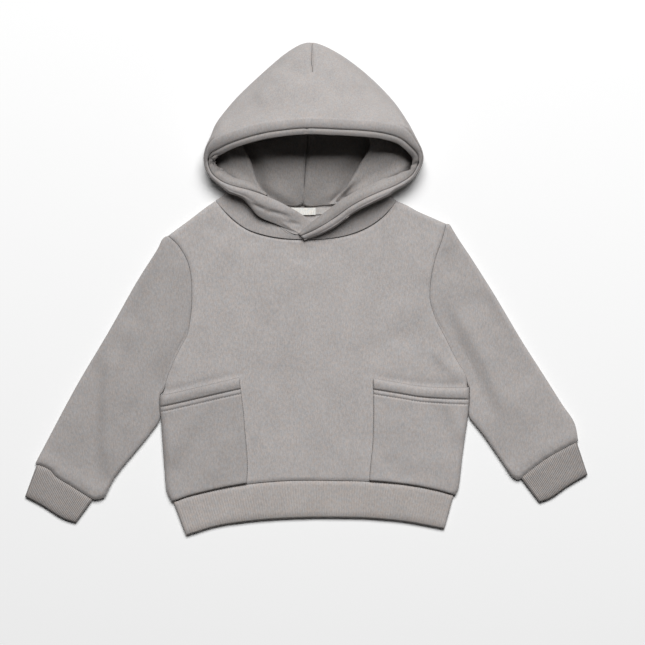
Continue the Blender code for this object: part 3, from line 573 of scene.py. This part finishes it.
# the very edge of the mouth turns down: depth and width
MOUTH_TURN = (0.9, 1.2)
POCKET_SEAM_SINK = (1.5, 2.2)
POCKET_HEM_SINK = (0.8, 3)
POCKET_UNEVEN = ((0.25, 30, 33),)
LAYER_GAP = 0.35
POCKET_ROWS = np.concatenate([np.arange(0, 24, 0.5), np.linspace(24, POCKET_HEIGHT, 62)])
POCKET_CREASES_RIGHT = (
    (-104, -132, -156, -236, -6, 18, 22, -2.1), (-120, -134, -168, -206, 0, 14, 12, 2),
    (-160, -160, -160, -236, 0, 6, 7, 1.2), (-92, -170, -112, -222, 0, 14, 14, 1.4),
)
POCKET_CREASES_LEFT = (
    (150, -130, 172, -196, 2, 16, 12, -1.5), (112, -150, 128, -214, 4, 18, 16, 1.6),
    (96, -200, 118, -226, 0, 10, 10, -0.8), (164, -128, 184, -176, 0, 8, 8, 1.2),
)


def pocket_points(mouth, inner, side_line, bottom_shares, turn, creases):
    """The laid patch, from its inner edge to the side fold and from the hem up to its mouth."""
    side = Edge(side_line)
    outward = 1 if turn else -1
    lift = LAYER_GAP + WALL
    bottom = Edge([hem_edge.at(share) for share in bottom_shares])
    mouth_line = Edge(mouth)
    top = Edge([*[mouth_line.at(i / 4) for i in range(4)], mouth[-1]])
    outer = Edge([*(p for p in side_line if p[1] < mouth[-1][1] - 5), mouth[-1]])
    shares = crowded(100, 0.85)
    if not turn:
        shares = shares[::-1]
    u, from_mouth = np.meshgrid(shares, POCKET_ROWS[::-1])
    base = between(bottom, top, Edge(inner), outer, u, 1 - from_mouth / POCKET_HEIGHT)
    x, y = base[..., 0], base[..., 1]
    distance = np.where(u < 1, side.away(x, y), 0)
    lean = 1 - np.clip(distance / FOLD_REACH, 0, 1)
    rise = np.sqrt(1 - lean * lean)
    roll = np.sin(math.pi * np.clip(from_mouth / MOUTH_FOLD, 0, 1)) ** 0.6
    roll *= 1 - 0.35 * from_mouth / MOUTH_FOLD
    detail = MOUTH_PUFF * np.where(from_mouth < MOUTH_FOLD, roll, 0)
    detail += uneven(x, y, [MOUTH_PUCKERS]) * ridge(from_mouth, 1, 7, 8)
    for line in STITCH_LINES:
        detail += ridge(from_mouth, *STITCH_GROOVE, line)
    detail += sink(from_mouth, *MOUTH_TURN) + sink(Edge(inner).away(x, y), *POCKET_SEAM_SINK)
    detail += sink(hem_seam.away(x, y), *POCKET_HEM_SINK) + uneven(x, y, POCKET_UNEVEN)
    detail += relief(x, y, creases) * ease(from_mouth / 20)
    z = front_height(x, y) + (lift + detail) * rise
    return np.dstack([x + outward * (lift - 0.3) * lean, y, z])


# the thread, painted dark so that its beads also stand for the shade in the stitch holes
thread = fleece_material("sewing_thread_painted_dark", (0.13, 0.122, 0.118), nap=0.4)


def stitch_row(name, line, step=3.3, length=2.5, thick=0.55):
    """A row of lock stitches: short thread beads laid end to end along a line of points."""
    run = np.concatenate([[0], np.cumsum(np.linalg.norm(np.diff(line, axis=0), axis=1))])
    stitches = bmesh.new()
    for at in np.arange(step, run[-1] - step / 2, step):
        ends = [np.array([np.interp(at + side, run, line[:, axis]) for axis in range(3)])
                for side in (-length / 2, length / 2)]
        along = Vector(ends[1] - ends[0])
        place = Matrix.Translation(Vector((ends[0] + ends[1]) / 2) * MM)
        turn = along.to_track_quat("Z", "Y").to_matrix().to_4x4()
        size = Matrix.Diagonal((thick / 2 * MM, thick / 2 * MM, along.length / 2 * MM, 1))
        bmesh.ops.create_uvsphere(stitches, u_segments=6, v_segments=4, radius=1,
                                  matrix=place @ turn @ size)
    data = finished_mesh(name, stitches)
    data.materials.append(thread)
    row = new_object(name, data)
    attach(row, "root")
    return row


# each pocket's colour is scaled by a factor of painted shade, darker on the wearer's right pocket
for side, mouth, inner, side_line, bottom_shares, turn, creases, shade, area in (
    ("right", POCKET_MOUTH_RIGHT, POCKET_INNER_RIGHT, SIDE_RIGHT, (0.26, 0.19, 0.12, 0.06, 0),
     False, POCKET_CREASES_RIGHT, 0.89, 0.0125),
    ("left", POCKET_MOUTH_LEFT, POCKET_INNER_LEFT, SIDE_LEFT, (0.7, 0.78, 0.86, 0.94, 1), True,
     POCKET_CREASES_LEFT, 0.97, 0.0135),
):
    points = pocket_points(mouth, inner, side_line, bottom_shares, turn, creases)
    name = "pocket_" + side + "_fleece"
    cloth = fleece_material(name, FLEECE_GREY, shade=shade)
    pocket = lay_cloth(name, points, cloth, "pocket_" + side)
    for number, line in enumerate(STITCH_LINES, 1):
        sewn = points[np.abs(POCKET_ROWS[::-1] - line).argmin()][2:-2]
        stitch_row("pocket_%s_stitches_%d" % (side, number), sewn)
    # edge stitches and a painted shadow line along the pocket's inner edge
    sewn = points[2:-2, 3 if turn else -4]
    stitch_row("pocket_%s_edge_stitches_and_shadow" % side, sewn, *EDGE_STITCHES_AND_SHADOW)

# ------------ Hood, outside
# The outer hood is fleece with a short seam at the crown. It stands up as a low tent over its
# lining, its edge turned in to a padded tunnel that one row of stitches holds, and its lower
# sides wrap to the front, the wearer's left over the right, and turn back down to the neck seam.
HOOD_COLUMNS = ("sewn", "rim_x", "rim_y", "rim_z", "fold_x", "fold_y", "fold_z", "tuck", "low")
HOOD_RIGHT = (
    (.49, 18.5, 63.5, 8.6, 8, 60.6, 8.4, -1.5, 8.2),
    (.40, 0, 84, 9.2, -16, 69, 9.2, -6, 8.4),
    (.30, -23, 98, 15.5, -37.5, 77, 12, 1.5, 8.8),
    (.20, -47, 109, 23, -57, 86, 17, 4, 9.5),
    (.10, -66, 115.5, 27, -74, 105, 20, 4.2, 10),
    (1, -83, 120, 26, -91, 112.5, 16, 3, 7),
    (1.08, -91, 122.5, 25, -97.5, 117.5, 12, 3, 2.5),
    (1.25, -101.5, 127.5, 24, -105, 123.9, 9.5, 3.5, 0),
    (1.50, -110.4, 135.4, 25, -114.8, 133.2, 8, 4, 0),
    (1.75, -114.8, 147.2, 28, -120.5, 149, 8, 4.5, 0),
    (2, -112.6, 156.9, 35, -119.5, 163, 7, 4.5, 0),
    (2.2, -103.4, 162, 45, -113.5, 177.5, 6, 4.5, 0),
    (2.38, -89.3, 168, 55, -106, 196, 4.5, 4.5, 0),
    (2.55, -69.3, 174.3, 64, -84.5, 223.5, 3.4, 4.5, 0),
    (2.72, -45.9, 179.6, 71, -55, 252, 3.4, 4.5, 0),
    (2.87, -22.6, 182.6, 75, -26, 277, 3.4, 4.5, 0),
    (2.95, -7.7, 183.9, 76, -6, 289, 3.4, 4.5, 0),
)
HOOD_CROWN = (3.0, 3.2, 184.4, 76, 5.7, 291, 3.4, 4.5, 0)
HOOD_LEFT = (
    (.53, -6.5, 62, 11.5, -2, 57.5, 9.6, 1, 8.6),
    (.60, 11.4, 70, 18, 18, 64, 14, 3, 10.2),
    (.70, 32, 82, 24, 38, 75, 19, 4, 12),
    (.80, 50.4, 95, 30, 56, 88.5, 24, 4.2, 13),
    (.90, 70, 106, 32, 76, 99, 25, 4.2, 12.5),
    (1, 90, 115, 30, 97, 109, 19, 3, 8.5),
    (1.08, 99, 118.5, 27.5, 103.5, 114, 13, 3, 3.5),
    (1.25, 112, 124.8, 25.5, 116, 121.3, 10, 3.5, 0),
    (1.50, 123.9, 133.4, 26, 128.4, 132, 8, 4, 0),
    (1.75, 130.8, 145.7, 29, 137.2, 149, 8, 4.5, 0),
    (2, 130.6, 155.9, 35, 137.2, 160.5, 7, 4.5, 0),
    (2.2, 122.5, 165, 45, 130, 176.5, 6, 4.5, 0),
    (2.38, 109.4, 174.1, 55, 120.5, 195, 4.5, 4.5, 0),
    (2.55, 91, 179.3, 64, 103, 221.5, 3.4, 4.5, 0),
    (2.72, 64.1, 182.1, 71, 73, 252, 3.4, 4.5, 0),
    (2.87, 33.9, 183.4, 75, 41.5, 276, 3.4, 4.5, 0),
    (2.95, 13.1, 184.3, 76, 17.5, 288.4, 3.4, 4.5, 0),
)
HOOD_GAP = 0.6
CENTRE_SEAM_X = -1.0
CENTRE_SEAM_TOP = 262.0
BAND = 13.6
BAND_PUFF = 3.0
# profile of the padded tunnel: share of the band's width, share of its puff
BAND_PROFILE = ((0, 0), (0.1, 0.5), (0.28, 0.85), (0.5, 1), (0.75, 0.85), (1, 0.4))
COVER_LOW = 6.8
CROWN_SEAM = ((6.7, 291), (6.2, 282), (6.9, 272), (6.6, 262), (7.3, 251.5))
# a groove and the ridge beside it: rise, half width and distance from the seam
CROWN_GROOVE = (-2.2, 1.6)
CROWN_RIDGE = (0.6, 3, 4.5)
# the same for the tunnel's stitched groove and its gathers, in shares of the band's width
BAND_GROOVE = (-1.1, 0.1, 1)
BAND_GATHER = (0.3, 0.45, 0.9)
DART_STITCHES = (2.1, 2.3, 1.1)
# x, y and height where seam allowances lie between the underside and the table, and their reach
UNDER_BULK = ((-1, 261, 2.3), (-98.5, 125, 1.1))
BULK_REACH = 3
# points put in along and across each section, and the rows of a section at the rim, the
# tunnel's stitches, the outer fold and the hidden seam
HOOD_FINER = (5, 9)
BAND_ROWS = (0, 5, 13, 21)
COVER_ROWS = slice(36, 65)
COVER_UNEVEN = (0.5, 40, 43)
HOOD_UNEVEN = (0.15, 12, 44)
FLAP_CREASES = (
    (-63, 98.5, -48, 92.5, 0, 2.4, 2.4, -1.4), (-48, 90.5, -20, 85, 1, 2.6, 2.6, -1.2),
    (-20.5, 78, -7.5, 76, 0, 2.2, 2.2, -1.2), (-27.5, 78, -10, 66, 0, 1.8, 1.8, 1),
    (46, 84, 50, 92, 0, 2.4, 2.4, -0.8), (-115, 150.3, -105.7, 154.2, 0, 1.6, 1.6, -1.4),
    (-113.6, 145, -103.8, 150.2, 0, 1.6, 1.6, -1.4),
    (-107, 135.8, -98.5, 141.1, 0, 1.6, 1.6, -1.2),
    (131.5, 147.6, 120.4, 141.7, 0, 1.8, 1.8, -1.5),
    (123.7, 150.2, 114.5, 155.5, 0, 1.8, 1.8, -1.5),
)
COVER_CREASES = (
    (-96, 196, -50, 216, 4, 12, 12, -2.6), (-22, 258, 2, 246, 0, 8, 8, -2.2),
    (10, 250, 34, 246, -4, 8, 8, -2.4), (-44, 250, -16, 238, 0, 12, 12, 2.2),
    (40, 226, 100, 216, 5, 14, 12, -2.2), (-60, 222, 20, 236, 8, 14, 14, 2.2),
    (30, 270, 62, 236, 0, 9, 9, 1.4), (-30, 272, -70, 222, 0, 9, 9, -1.6),
)


def finer(points, along, across):
    """A table of points with others put in on smooth curves, along each section and across."""
    for times in (along, across):
        run = np.diff(points, axis=0)
        size = np.linalg.norm(run, axis=-1, keepdims=True) + 1e-6
        lean = (run[:-1] * size[1:] + run[1:] * size[:-1]) / (size[:-1] + size[1:])
        lean = np.concatenate([run[:1], lean, run[-1:]])
        t = (np.arange(times) / times)[None, :, None, None]
        a, b, m, n = points[:-1, None], points[1:, None], lean[:-1, None], lean[1:, None]
        curve = (a * (2 * t ** 3 - 3 * t ** 2 + 1) + m * (t ** 3 - 2 * t ** 2 + t)
                 + b * (3 * t ** 2 - 2 * t ** 3) + n * (t ** 3 - t ** 2))
        points = np.concatenate([curve.reshape((-1,) + points.shape[1:]), points[-1:]])
        points = np.swapaxes(points, 0, 1)
    return points


def facing_out(points):
    """Outward normals of a laid table of points."""
    rows = np.gradient(points, axis=0)
    columns = np.gradient(points, axis=1)
    normal = np.cross(columns, rows)
    return normal / np.maximum(np.linalg.norm(normal, axis=-1, keepdims=True), 1e-9)


def sewn_point(sewn, side):
    """Where a hood section is sewn: front neckline, back neckline or centre seam."""
    if sewn < 1:
        x, y = Edge(NECK_FRONT).moved(HOOD_GAP).at(sewn)
        return np.array((x, y, BODY_TOP))
    back_seam = Edge(NECK_BACK).moved(HOOD_GAP)
    if sewn < 2:
        share = (sewn - 1) / 2
        x, y = back_seam.at(share if side < 0 else 1 - share)
        return np.array((x, y, BODY_TOP / 2 + 1.2 if sewn == 1 else 0))
    start = back_seam.at(0.5)[1]
    gap = 0 if sewn == 3 else side * half_gap
    return np.array((CENTRE_SEAM_X + gap, start + (CENTRE_SEAM_TOP - start) * (sewn - 2), 0))


def tent_share(width):
    """How far a section of the hood stands up as a tent, from 0 to 1 by its width."""
    return ease((width - 12) / 40)


def from_rim_to_fold(row):
    """Where a section's rim lies, how wide the section is, and which way it runs to its fold."""
    rim = np.array((row["rim_x"], row["rim_y"]))
    run = np.array((row["fold_x"], row["fold_y"])) - rim
    width = np.linalg.norm(run)
    return rim, width, run / width


def hood_section(row, side):
    """Points of one section of the outer hood, from the rim over the fold to its seam."""
    rim, width, out = from_rim_to_fold(row)
    band = min(BAND, 0.7 * width)
    tent = tent_share(width)
    reach = (width - band) * (1 - tent) + FOLD_REACH * tent
    puff = BAND_PUFF * min(width / 12, 1) * ease((row["rim_z"] - 8) / 8)
    rim_z, fold_z = row["rim_z"], row["fold_z"]
    points = [(band * share, rim_z + puff * rise) for share, rise in BAND_PROFILE]
    start = points[-1][1]
    for share in (.15, .3, .45, .6, .74, .86, .95):
        slope = COVER_LOW + (start - COVER_LOW) * (1 - share) ** 0.9
        top = start + (slope - start) * tent
        at = band + (width - band) * share
        points.append((at, float(rounded(top, fold_z, width - at, reach))))
    points.append((width, fold_z))
    tuck, low = row["tuck"], row["low"]
    points.append((width - 0.3 * tuck, low + 0.3 * (fold_z - low)))
    points.append((width - tuck, low + 0.1 + 0.7 * ease(tuck / 2)))
    points.append((width - tuck - 0.01, low))
    placed = [np.array((*(rim + out * at), z)) for at, z in points]
    turn = placed[-1]
    end = sewn_point(row["sewn"], side)
    for share in (.25, .5, .75, 1):
        placed.append(turn * (1 - share) + end * share)
    return placed


hood_rows = (*HOOD_RIGHT, HOOD_CROWN, *reversed(HOOD_LEFT))
hood_rows = [dict(zip(HOOD_COLUMNS, row)) for row in hood_rows]
sides = [-1] * (len(HOOD_RIGHT) + 1) + [1] * len(HOOD_LEFT)
sections = [hood_section(row, side) for row, side in zip(hood_rows, sides)]
points = finer(np.swapaxes(np.array(sections), 0, 1), *HOOD_FINER)
from_rim = np.cumsum(np.linalg.norm(np.diff(points, axis=0, prepend=points[:1]), axis=-1), axis=0)
band_share = np.interp(np.arange(points.shape[0]) / HOOD_FINER[0], BAND_ROWS, range(4))[:, None]
x, y = points[..., 0], points[..., 1]
sewn = [row["sewn"] for row in hood_rows]
sewn = np.interp(np.arange(points.shape[1]) / HOOD_FINER[1], range(len(sewn)), sewn)
is_cover = ease((band_share - 0.9) / 0.3) * (1 - ease((band_share - 1.9) / 0.2))
along_rim = np.cumsum(np.linalg.norm(np.diff(points[0], axis=0, prepend=points[0, :1]), axis=-1))
gather = waver(np.broadcast_to(along_rim, x.shape), from_rim * 0.25, 7.5, 41)
crown_seam = Edge(CROWN_SEAM)
from_seam = crown_seam.away(x, y)
cover_offset = relief(x, y, COVER_CREASES) + uneven(x, y, [COVER_UNEVEN])
cover_offset += ridge(from_seam, *CROWN_GROOVE) + ridge(from_seam, *CROWN_RIDGE)
offset = ridge(band_share, *BAND_GROOVE) * ease((sewn - 1.35) / 0.4)
offset += gather * ridge(band_share, *BAND_GATHER) + cover_offset * is_cover
offset += relief(x, y, FLAP_CREASES) + uneven(x, y, [HOOD_UNEVEN])
on_top = 1 - ease((band_share - 1.85) / 0.2)
points = points + facing_out(points) * (offset * on_top)[..., None]
for spot_x, spot_y, bulk in UNDER_BULK:
    away = np.hypot(x - spot_x, y - spot_y)
    points[..., 2] += ridge(away, bulk, BULK_REACH) * (band_share > 2.1)
# the outer hood's colour is painted 9 percent darker: painted shade on its tent, which faces the
# lamp
shaded_hood_cloth = fleece_material("hood_fleece", FLEECE_GREY, shade=0.91)
hood = lay_cloth("hood_fleece", points, shaded_hood_cloth, "hood_outer")
cover = points[COVER_ROWS].reshape(-1, 3)
dart = [cover[np.hypot(*(cover[:, :2] - spot).T).argmin()] for spot in crown_seam.lines[0]]
dart = np.array(dart[::3]) + (0, 0, 0.2)
dart_stitches = stitch_row("hood_dart_stitches", dart, *DART_STITCHES)

# ------------ Hood lining
# The lining is the same fleece with a seam up its centre, its colour painted darker as shade
# inside the hood. It turns over the rim as a soft roll, follows the tent inside, and lies on the
# table side in two long folds that run to the neck.
LINING_WALL = 2.0
LINING_FLOOR = 4.8
LINING_COLUMNS = ("facing", "drop", "end_x", "end_y")
LINING_RIGHT = (
    (3, 2, -44, 107), (8, 3.5, -61, 113), (12.5, 4, -77, 118), (13.5, 4, -82, 117),
    (13, 4, -72, 112.5), (12.5, 3.5, -55, 105), (11, 3, -30, 99.5), (8, 2.5, -4.4, 99),
    (7.5, 2, -2.8, 121), (7, 1.6, -1.1, 145), (7, 1.3, .7, 170), (7, 1.2, 2.5, 195),
    (7, 1.2, 4.3, 220), (7, 1.2, 5.3, 234),
)
LINING_CROWN = (7, 1.2, 6.2, 245)
LINING_LEFT = (
    (4, 1.4, -1, 66), (10, 2.6, 14, 74), (12.5, 3.2, 27, 84), (13, 3.5, 45, 100),
    (13.5, 3.8, 65, 110), (14, 4, 84, 118), (14, 4, 84, 112), (13.5, 4, 76, 106),
    (12.5, 3.5, 56, 101), (11, 3, 26, 99.5), (8, 2.5, -3.8, 99), (7.5, 2, -2.2, 121),
    (7, 1.6, -.5, 145), (7, 1.3, 1.3, 170), (7, 1.2, 3.1, 195), (7, 1.2, 4.9, 220),
    (7, 1.2, 5.9, 234),
)
LOBE_EDGE_RIGHT = ((-78, 180), (-73.5, 168.5), (-67.5, 155.5), (-61, 137), (-55, 118),
                   (-46, 104))
LOBE_EDGE_LEFT = ((80, 182), (76, 171), (68.5, 155.5), (59, 140), (50.5, 124), (43, 113.5),
                  (34.5, 100))
LINING_CREASES = (
    (-115, 150.3, -103, 155, 0, 1.6, 1.6, -1.4), (-113.6, 145, -102, 151, 0, 1.6, 1.6, -1.4),
    (-107, 135.8, -96, 142.5, 0, 1.6, 1.6, -1.2), (131.5, 147.6, 118, 140.5, 0, 1.8, 1.8, -1.5),
    (123.7, 150.2, 112, 157, 0, 1.8, 1.8, -1.5), (0, 178, 1.5, 188, 0, 1.6, 1.6, -1.4),
)
FLOOR_CREASES = (
    (-54, 168, -22, 148, 0, 7, 7, 2.4), (-2, 149, 16, 145, 0, 6, 6, 2.2),
    (24, 152, 46, 128, 0, 6, 6, 2), (-30, 122, -12, 108, 0, 7, 7, 1.2),
)
LOBE_RISE = 17.0
LOBE_TILT = 4.0
LOBE_FALL = 8.0
LOBE_CLIMB = 20.0
LINING_UNEVEN = ((0.35, 16, 51), (0.12, 6, 52))
FLAP_SECTIONS = (.53, .60)  # where the lining ends on the lower flap
OVER_FLAP = 9.9
BARE_SECTIONS = 3  # at the foot of the wearer's right side, under the lap
LINING_FINER = (5, 6)
FACING_POINTS = 21
lobe_edges = [Edge(LOBE_EDGE_RIGHT), Edge(LOBE_EDGE_LEFT)]


def lobe_rise(x, y):
    """Height of the side lobes over the lining that lies on the table side of the hood."""
    full = LOBE_RISE + LOBE_TILT * ease((y - 125) / 45)
    rise = np.zeros_like(x)
    for edge, side in zip(lobe_edges, (-1, 1)):
        line = edge.lines[0]
        beside = np.interp(-y, -line[:, 1], line[:, 0])
        fall = ease(1 - edge.away(x, y) / LOBE_FALL)
        rise += full * np.where((x - beside) * side < 0, fall, 1)
    return rise * ease((y - 101) / 15) * ease((188 - y) / 14)


# a section over the edge of a lobe: mm past the edge where it folds under, mm past it where there
# is no lobe, and share of the lobe's height
LOBE_FOLD = ((-9, -9, 1), (-4.5, -6, 1), (-1.8, -4, 0.96), (0.2, -2, 0.86), (0.8, 0, 0.68),
             (-0.6, 2, 0.52), (-4, 4, 0.4), (-7.5, 6, 0.12), (-4, 9, 0), (3, 13, 0))


def lobe_crossing(start, end):
    """Distance along a lining section at which it crosses the edge of a lobe, or None."""
    shares = np.linspace(0.1, 0.95, 400)
    spots = start + (end - start) * shares[:, None]
    away = nearest(lobe_edges, *spots.T)
    return shares[away.argmin()] * math.dist(start, end) if away.min() < 1 else None


# the middle of the lining swells up beside the lobes: height, and mm from each lobe to the full
# swell
SWELL = 9.0
SWELL_REACH_RIGHT = 24.0
SWELL_REACH_LEFT = 34.0


def floor_swell(x, y):
    """Height by which the middle of the lining swells between the lobes."""
    away = np.minimum(lobe_edges[0].away(x, y) / SWELL_REACH_RIGHT,
                      lobe_edges[1].away(x, y) / SWELL_REACH_LEFT)
    near = 1 - np.clip(away, 0, 1)
    return SWELL * (1 - near * near) * ease((y - 99) / 16) * ease((214 - y) / 26)


def lining_floor(start, end):
    """Points of a section on the table side, over the lobe and its folded edge to the end."""
    length = math.dist(start, end)
    crossing = lobe_crossing(start, end)
    edge = crossing or 0.45 * length
    way = (end - start) / length
    top = lobe_rise(*(start + way * (edge - 4))[:, None])[0]
    fold = min(top / LOBE_RISE, 1) if crossing else 0
    points = [(share * (edge - 9), None) for share in (.2, .5, .8)]
    for under, flat, height in LOBE_FOLD:
        rise = height * top if crossing else None
        points.append((edge + under * fold + flat * (1 - fold), rise))
    last = edge + 13 - 10 * fold
    points += [(last + (length - last) * share, None) for share in (.3, .65, 1)]
    placed = []
    for at, rise in points:
        spot = start + way * at
        if rise is None:
            rise = lobe_rise(*spot[:, None])[0] if at < edge or not crossing else 0
            rise *= ease(at / LOBE_CLIMB)
            if crossing and at > edge:
                rise += floor_swell(*spot[:, None])[0]
        placed.append(np.array((*spot, LINING_FLOOR + rise)))
    return placed


def lining_section(row, lining, joined):
    """Points of one section of the lining, from the rim inward and down to the back layer."""
    rim, width, out = from_rim_to_fold(row)
    facing, drop, top = lining["facing"], lining["drop"], row["rim_z"]
    end = np.array((lining["end_x"], lining["end_y"]))
    points = [(-0.35, top - 0.3), (-0.4 * facing, top + 0.5), (-0.8 * facing, top - 0.5 * drop),
              (-facing, top - drop - 1)]
    if not joined:
        bottom = OVER_FLAP if row["sewn"] in FLAP_SECTIONS else LINING_FLOOR
        start = top - drop - 1
        fall = start - min(bottom, start - 0.3)
        for share in np.arange(1, FACING_POINTS + 1) / FACING_POINTS:
            points.append((-facing + 0.2 * facing * share ** 2, start - fall * share))
        return [np.array((*(rim + out * at), z)) for at, z in points]
    tent = tent_share(width)
    turn = width - 7.4 - 7 * tent
    points.append((-0.7 * facing, top - 6))
    turn_z = 9.5 - 1.7 * tent
    start_t, start_z = points[-1]
    for share in (.35, .7, 1):
        points.append((start_t + (turn - start_t) * share, start_z + (turn_z - start_z) * share))
    points.append((turn - 1.2, LINING_FLOOR))
    placed = [np.array((*(rim + out * at), z)) for at, z in points]
    return placed + lining_floor(placed[-1][:2], end)


lining_rows = (*LINING_RIGHT, LINING_CROWN, *reversed(LINING_LEFT))
sections = [lining_section(row, dict(zip(LINING_COLUMNS, lining)), row["sewn"] > 1)
            for row, lining in zip(hood_rows[BARE_SECTIONS:], lining_rows)]
points = finer(np.swapaxes(np.array(sections), 0, 1)[::-1], *LINING_FINER)
x, y = points[..., 0], points[..., 1]
offset = uneven(x, y, LINING_UNEVEN)
offset += relief(x, y, LINING_CREASES) * ease((points[..., 2] - 8) / 4)
offset += relief(x, y, FLOOR_CREASES) * ease((9 - points[..., 2]) / 3)
points = points + facing_out(points) * offset[..., None]
# the lining's colour is the fleece's painted about a fifth darker: painted shade of the hood's
# inside
shaded_lining_fleece = fleece_material("shaded_lining_fleece", (0.315, 0.296, 0.286), nap=1.2)
lining = lay_cloth("hood_lining_fleece", points, shaded_lining_fleece, "hood_lining",
                   LINING_WALL)

# ------------ Neck tape and label
# A narrow twill tape covers the back neck seam, and a plain woven label is folded and sewn over
# its middle. Both lie on the inside of the back, below the crossing fronts of the hood.
TAPE_SPAN = (-52, 52)
TAPE_DEPTH = 8.0
LABEL_SPAN = (-19, 11)
LABEL_DEPTH = 8.5
TRIM_WALL = 1.0
TAPE_TOP = WALL + LAYER_GAP + TRIM_WALL


def trim_points(span, depth, top, seed):
    """A strip that hangs from the back neckline onto the back panel, slightly wavy."""
    u, v = np.meshgrid(np.linspace(0, 1, 60), np.linspace(0, 1, 18))
    x = span[0] + (span[1] - span[0]) * u
    neck = Edge(NECK_BACK).at((x + 107) / 213)
    y = neck[..., 1] + 0.7 - depth * (1 - v)
    return np.dstack([neck[..., 0], y, top + uneven(x, y, [(0.12, 9, seed)])])


tape_twill = fleece_material("tape_twill", (0.42, 0.40, 0.385), 45, 0.5)
label_satin = fleece_material("label_weave", (0.69, 0.68, 0.645), nap=0.3)
points = trim_points(TAPE_SPAN, TAPE_DEPTH, TAPE_TOP, 61)
tape = lay_cloth("neck_tape_twill", points, tape_twill, "neck_tape", TRIM_WALL)
points = trim_points(LABEL_SPAN, LABEL_DEPTH, TAPE_TOP + TRIM_WALL + LAYER_GAP, 62)
label = lay_cloth("neck_label_weave", points, label_satin, "neck_label", TRIM_WALL)

# ------------ Table, light, camera
# A pale table, a large soft light above the head of the garment with a pale room round it, and a
# camera that looks straight down from far enough away to keep the sizes true.
TABLE_SIZE = 4.0
TABLE_Z = -0.0004
TABLE_WHITE = (0.9, 0.9, 0.9, 1)
ROOM_WHITE = (1, 1, 1, 1)
ROOM_LIGHT = 0.03
LAMP_SIZE = (3.6, 3.2)
LAMP_POWER = 448
LAMP_PLACE = (0.35, 3.25, 4.75)
FRAME_WIDTH = 0.761
SENSOR = 36
CAMERA_HEIGHT = 3.0
CAMERA_PLACE = (0.0191, -0.0395, CAMERA_HEIGHT + 0.005)

grid = bmesh.new()
bmesh.ops.create_grid(grid, x_segments=1, y_segments=1, size=TABLE_SIZE)
bmesh.ops.translate(grid, verts=grid.verts, vec=(0, 0, TABLE_Z))
table = finished_mesh("table", grid)
paint = bpy.data.materials.new("table_paint")
paint.use_nodes = True
paint.node_tree.nodes["Principled BSDF"].inputs["Base Color"].default_value = TABLE_WHITE
paint.node_tree.nodes["Principled BSDF"].inputs["Roughness"].default_value = 0.9
table.materials.append(paint)
new_object("table", table)

room = bpy.data.worlds.new("room")
room.use_nodes = True
room.node_tree.nodes["Background"].inputs["Color"].default_value = ROOM_WHITE
room.node_tree.nodes["Background"].inputs["Strength"].default_value = ROOM_LIGHT
bpy.context.scene.world = room
bpy.context.scene.view_settings.view_transform = "Standard"
lamp = bpy.data.lights.new("soft_key", "AREA")
lamp.shape = "RECTANGLE"
lamp.size, lamp.size_y = LAMP_SIZE
lamp.energy = LAMP_POWER
key = new_object("soft_key", lamp)
key.location = LAMP_PLACE
key.rotation_euler = (-key.location).to_track_quat("-Z", "Y").to_euler()

camera_data = bpy.data.cameras.new("camera")
camera_data.sensor_width = SENSOR
camera_data.lens = SENSOR * CAMERA_HEIGHT / FRAME_WIDTH
camera_data.clip_end = 20
camera = new_object("camera", camera_data)
camera.location = CAMERA_PLACE
bpy.context.scene.camera = camera
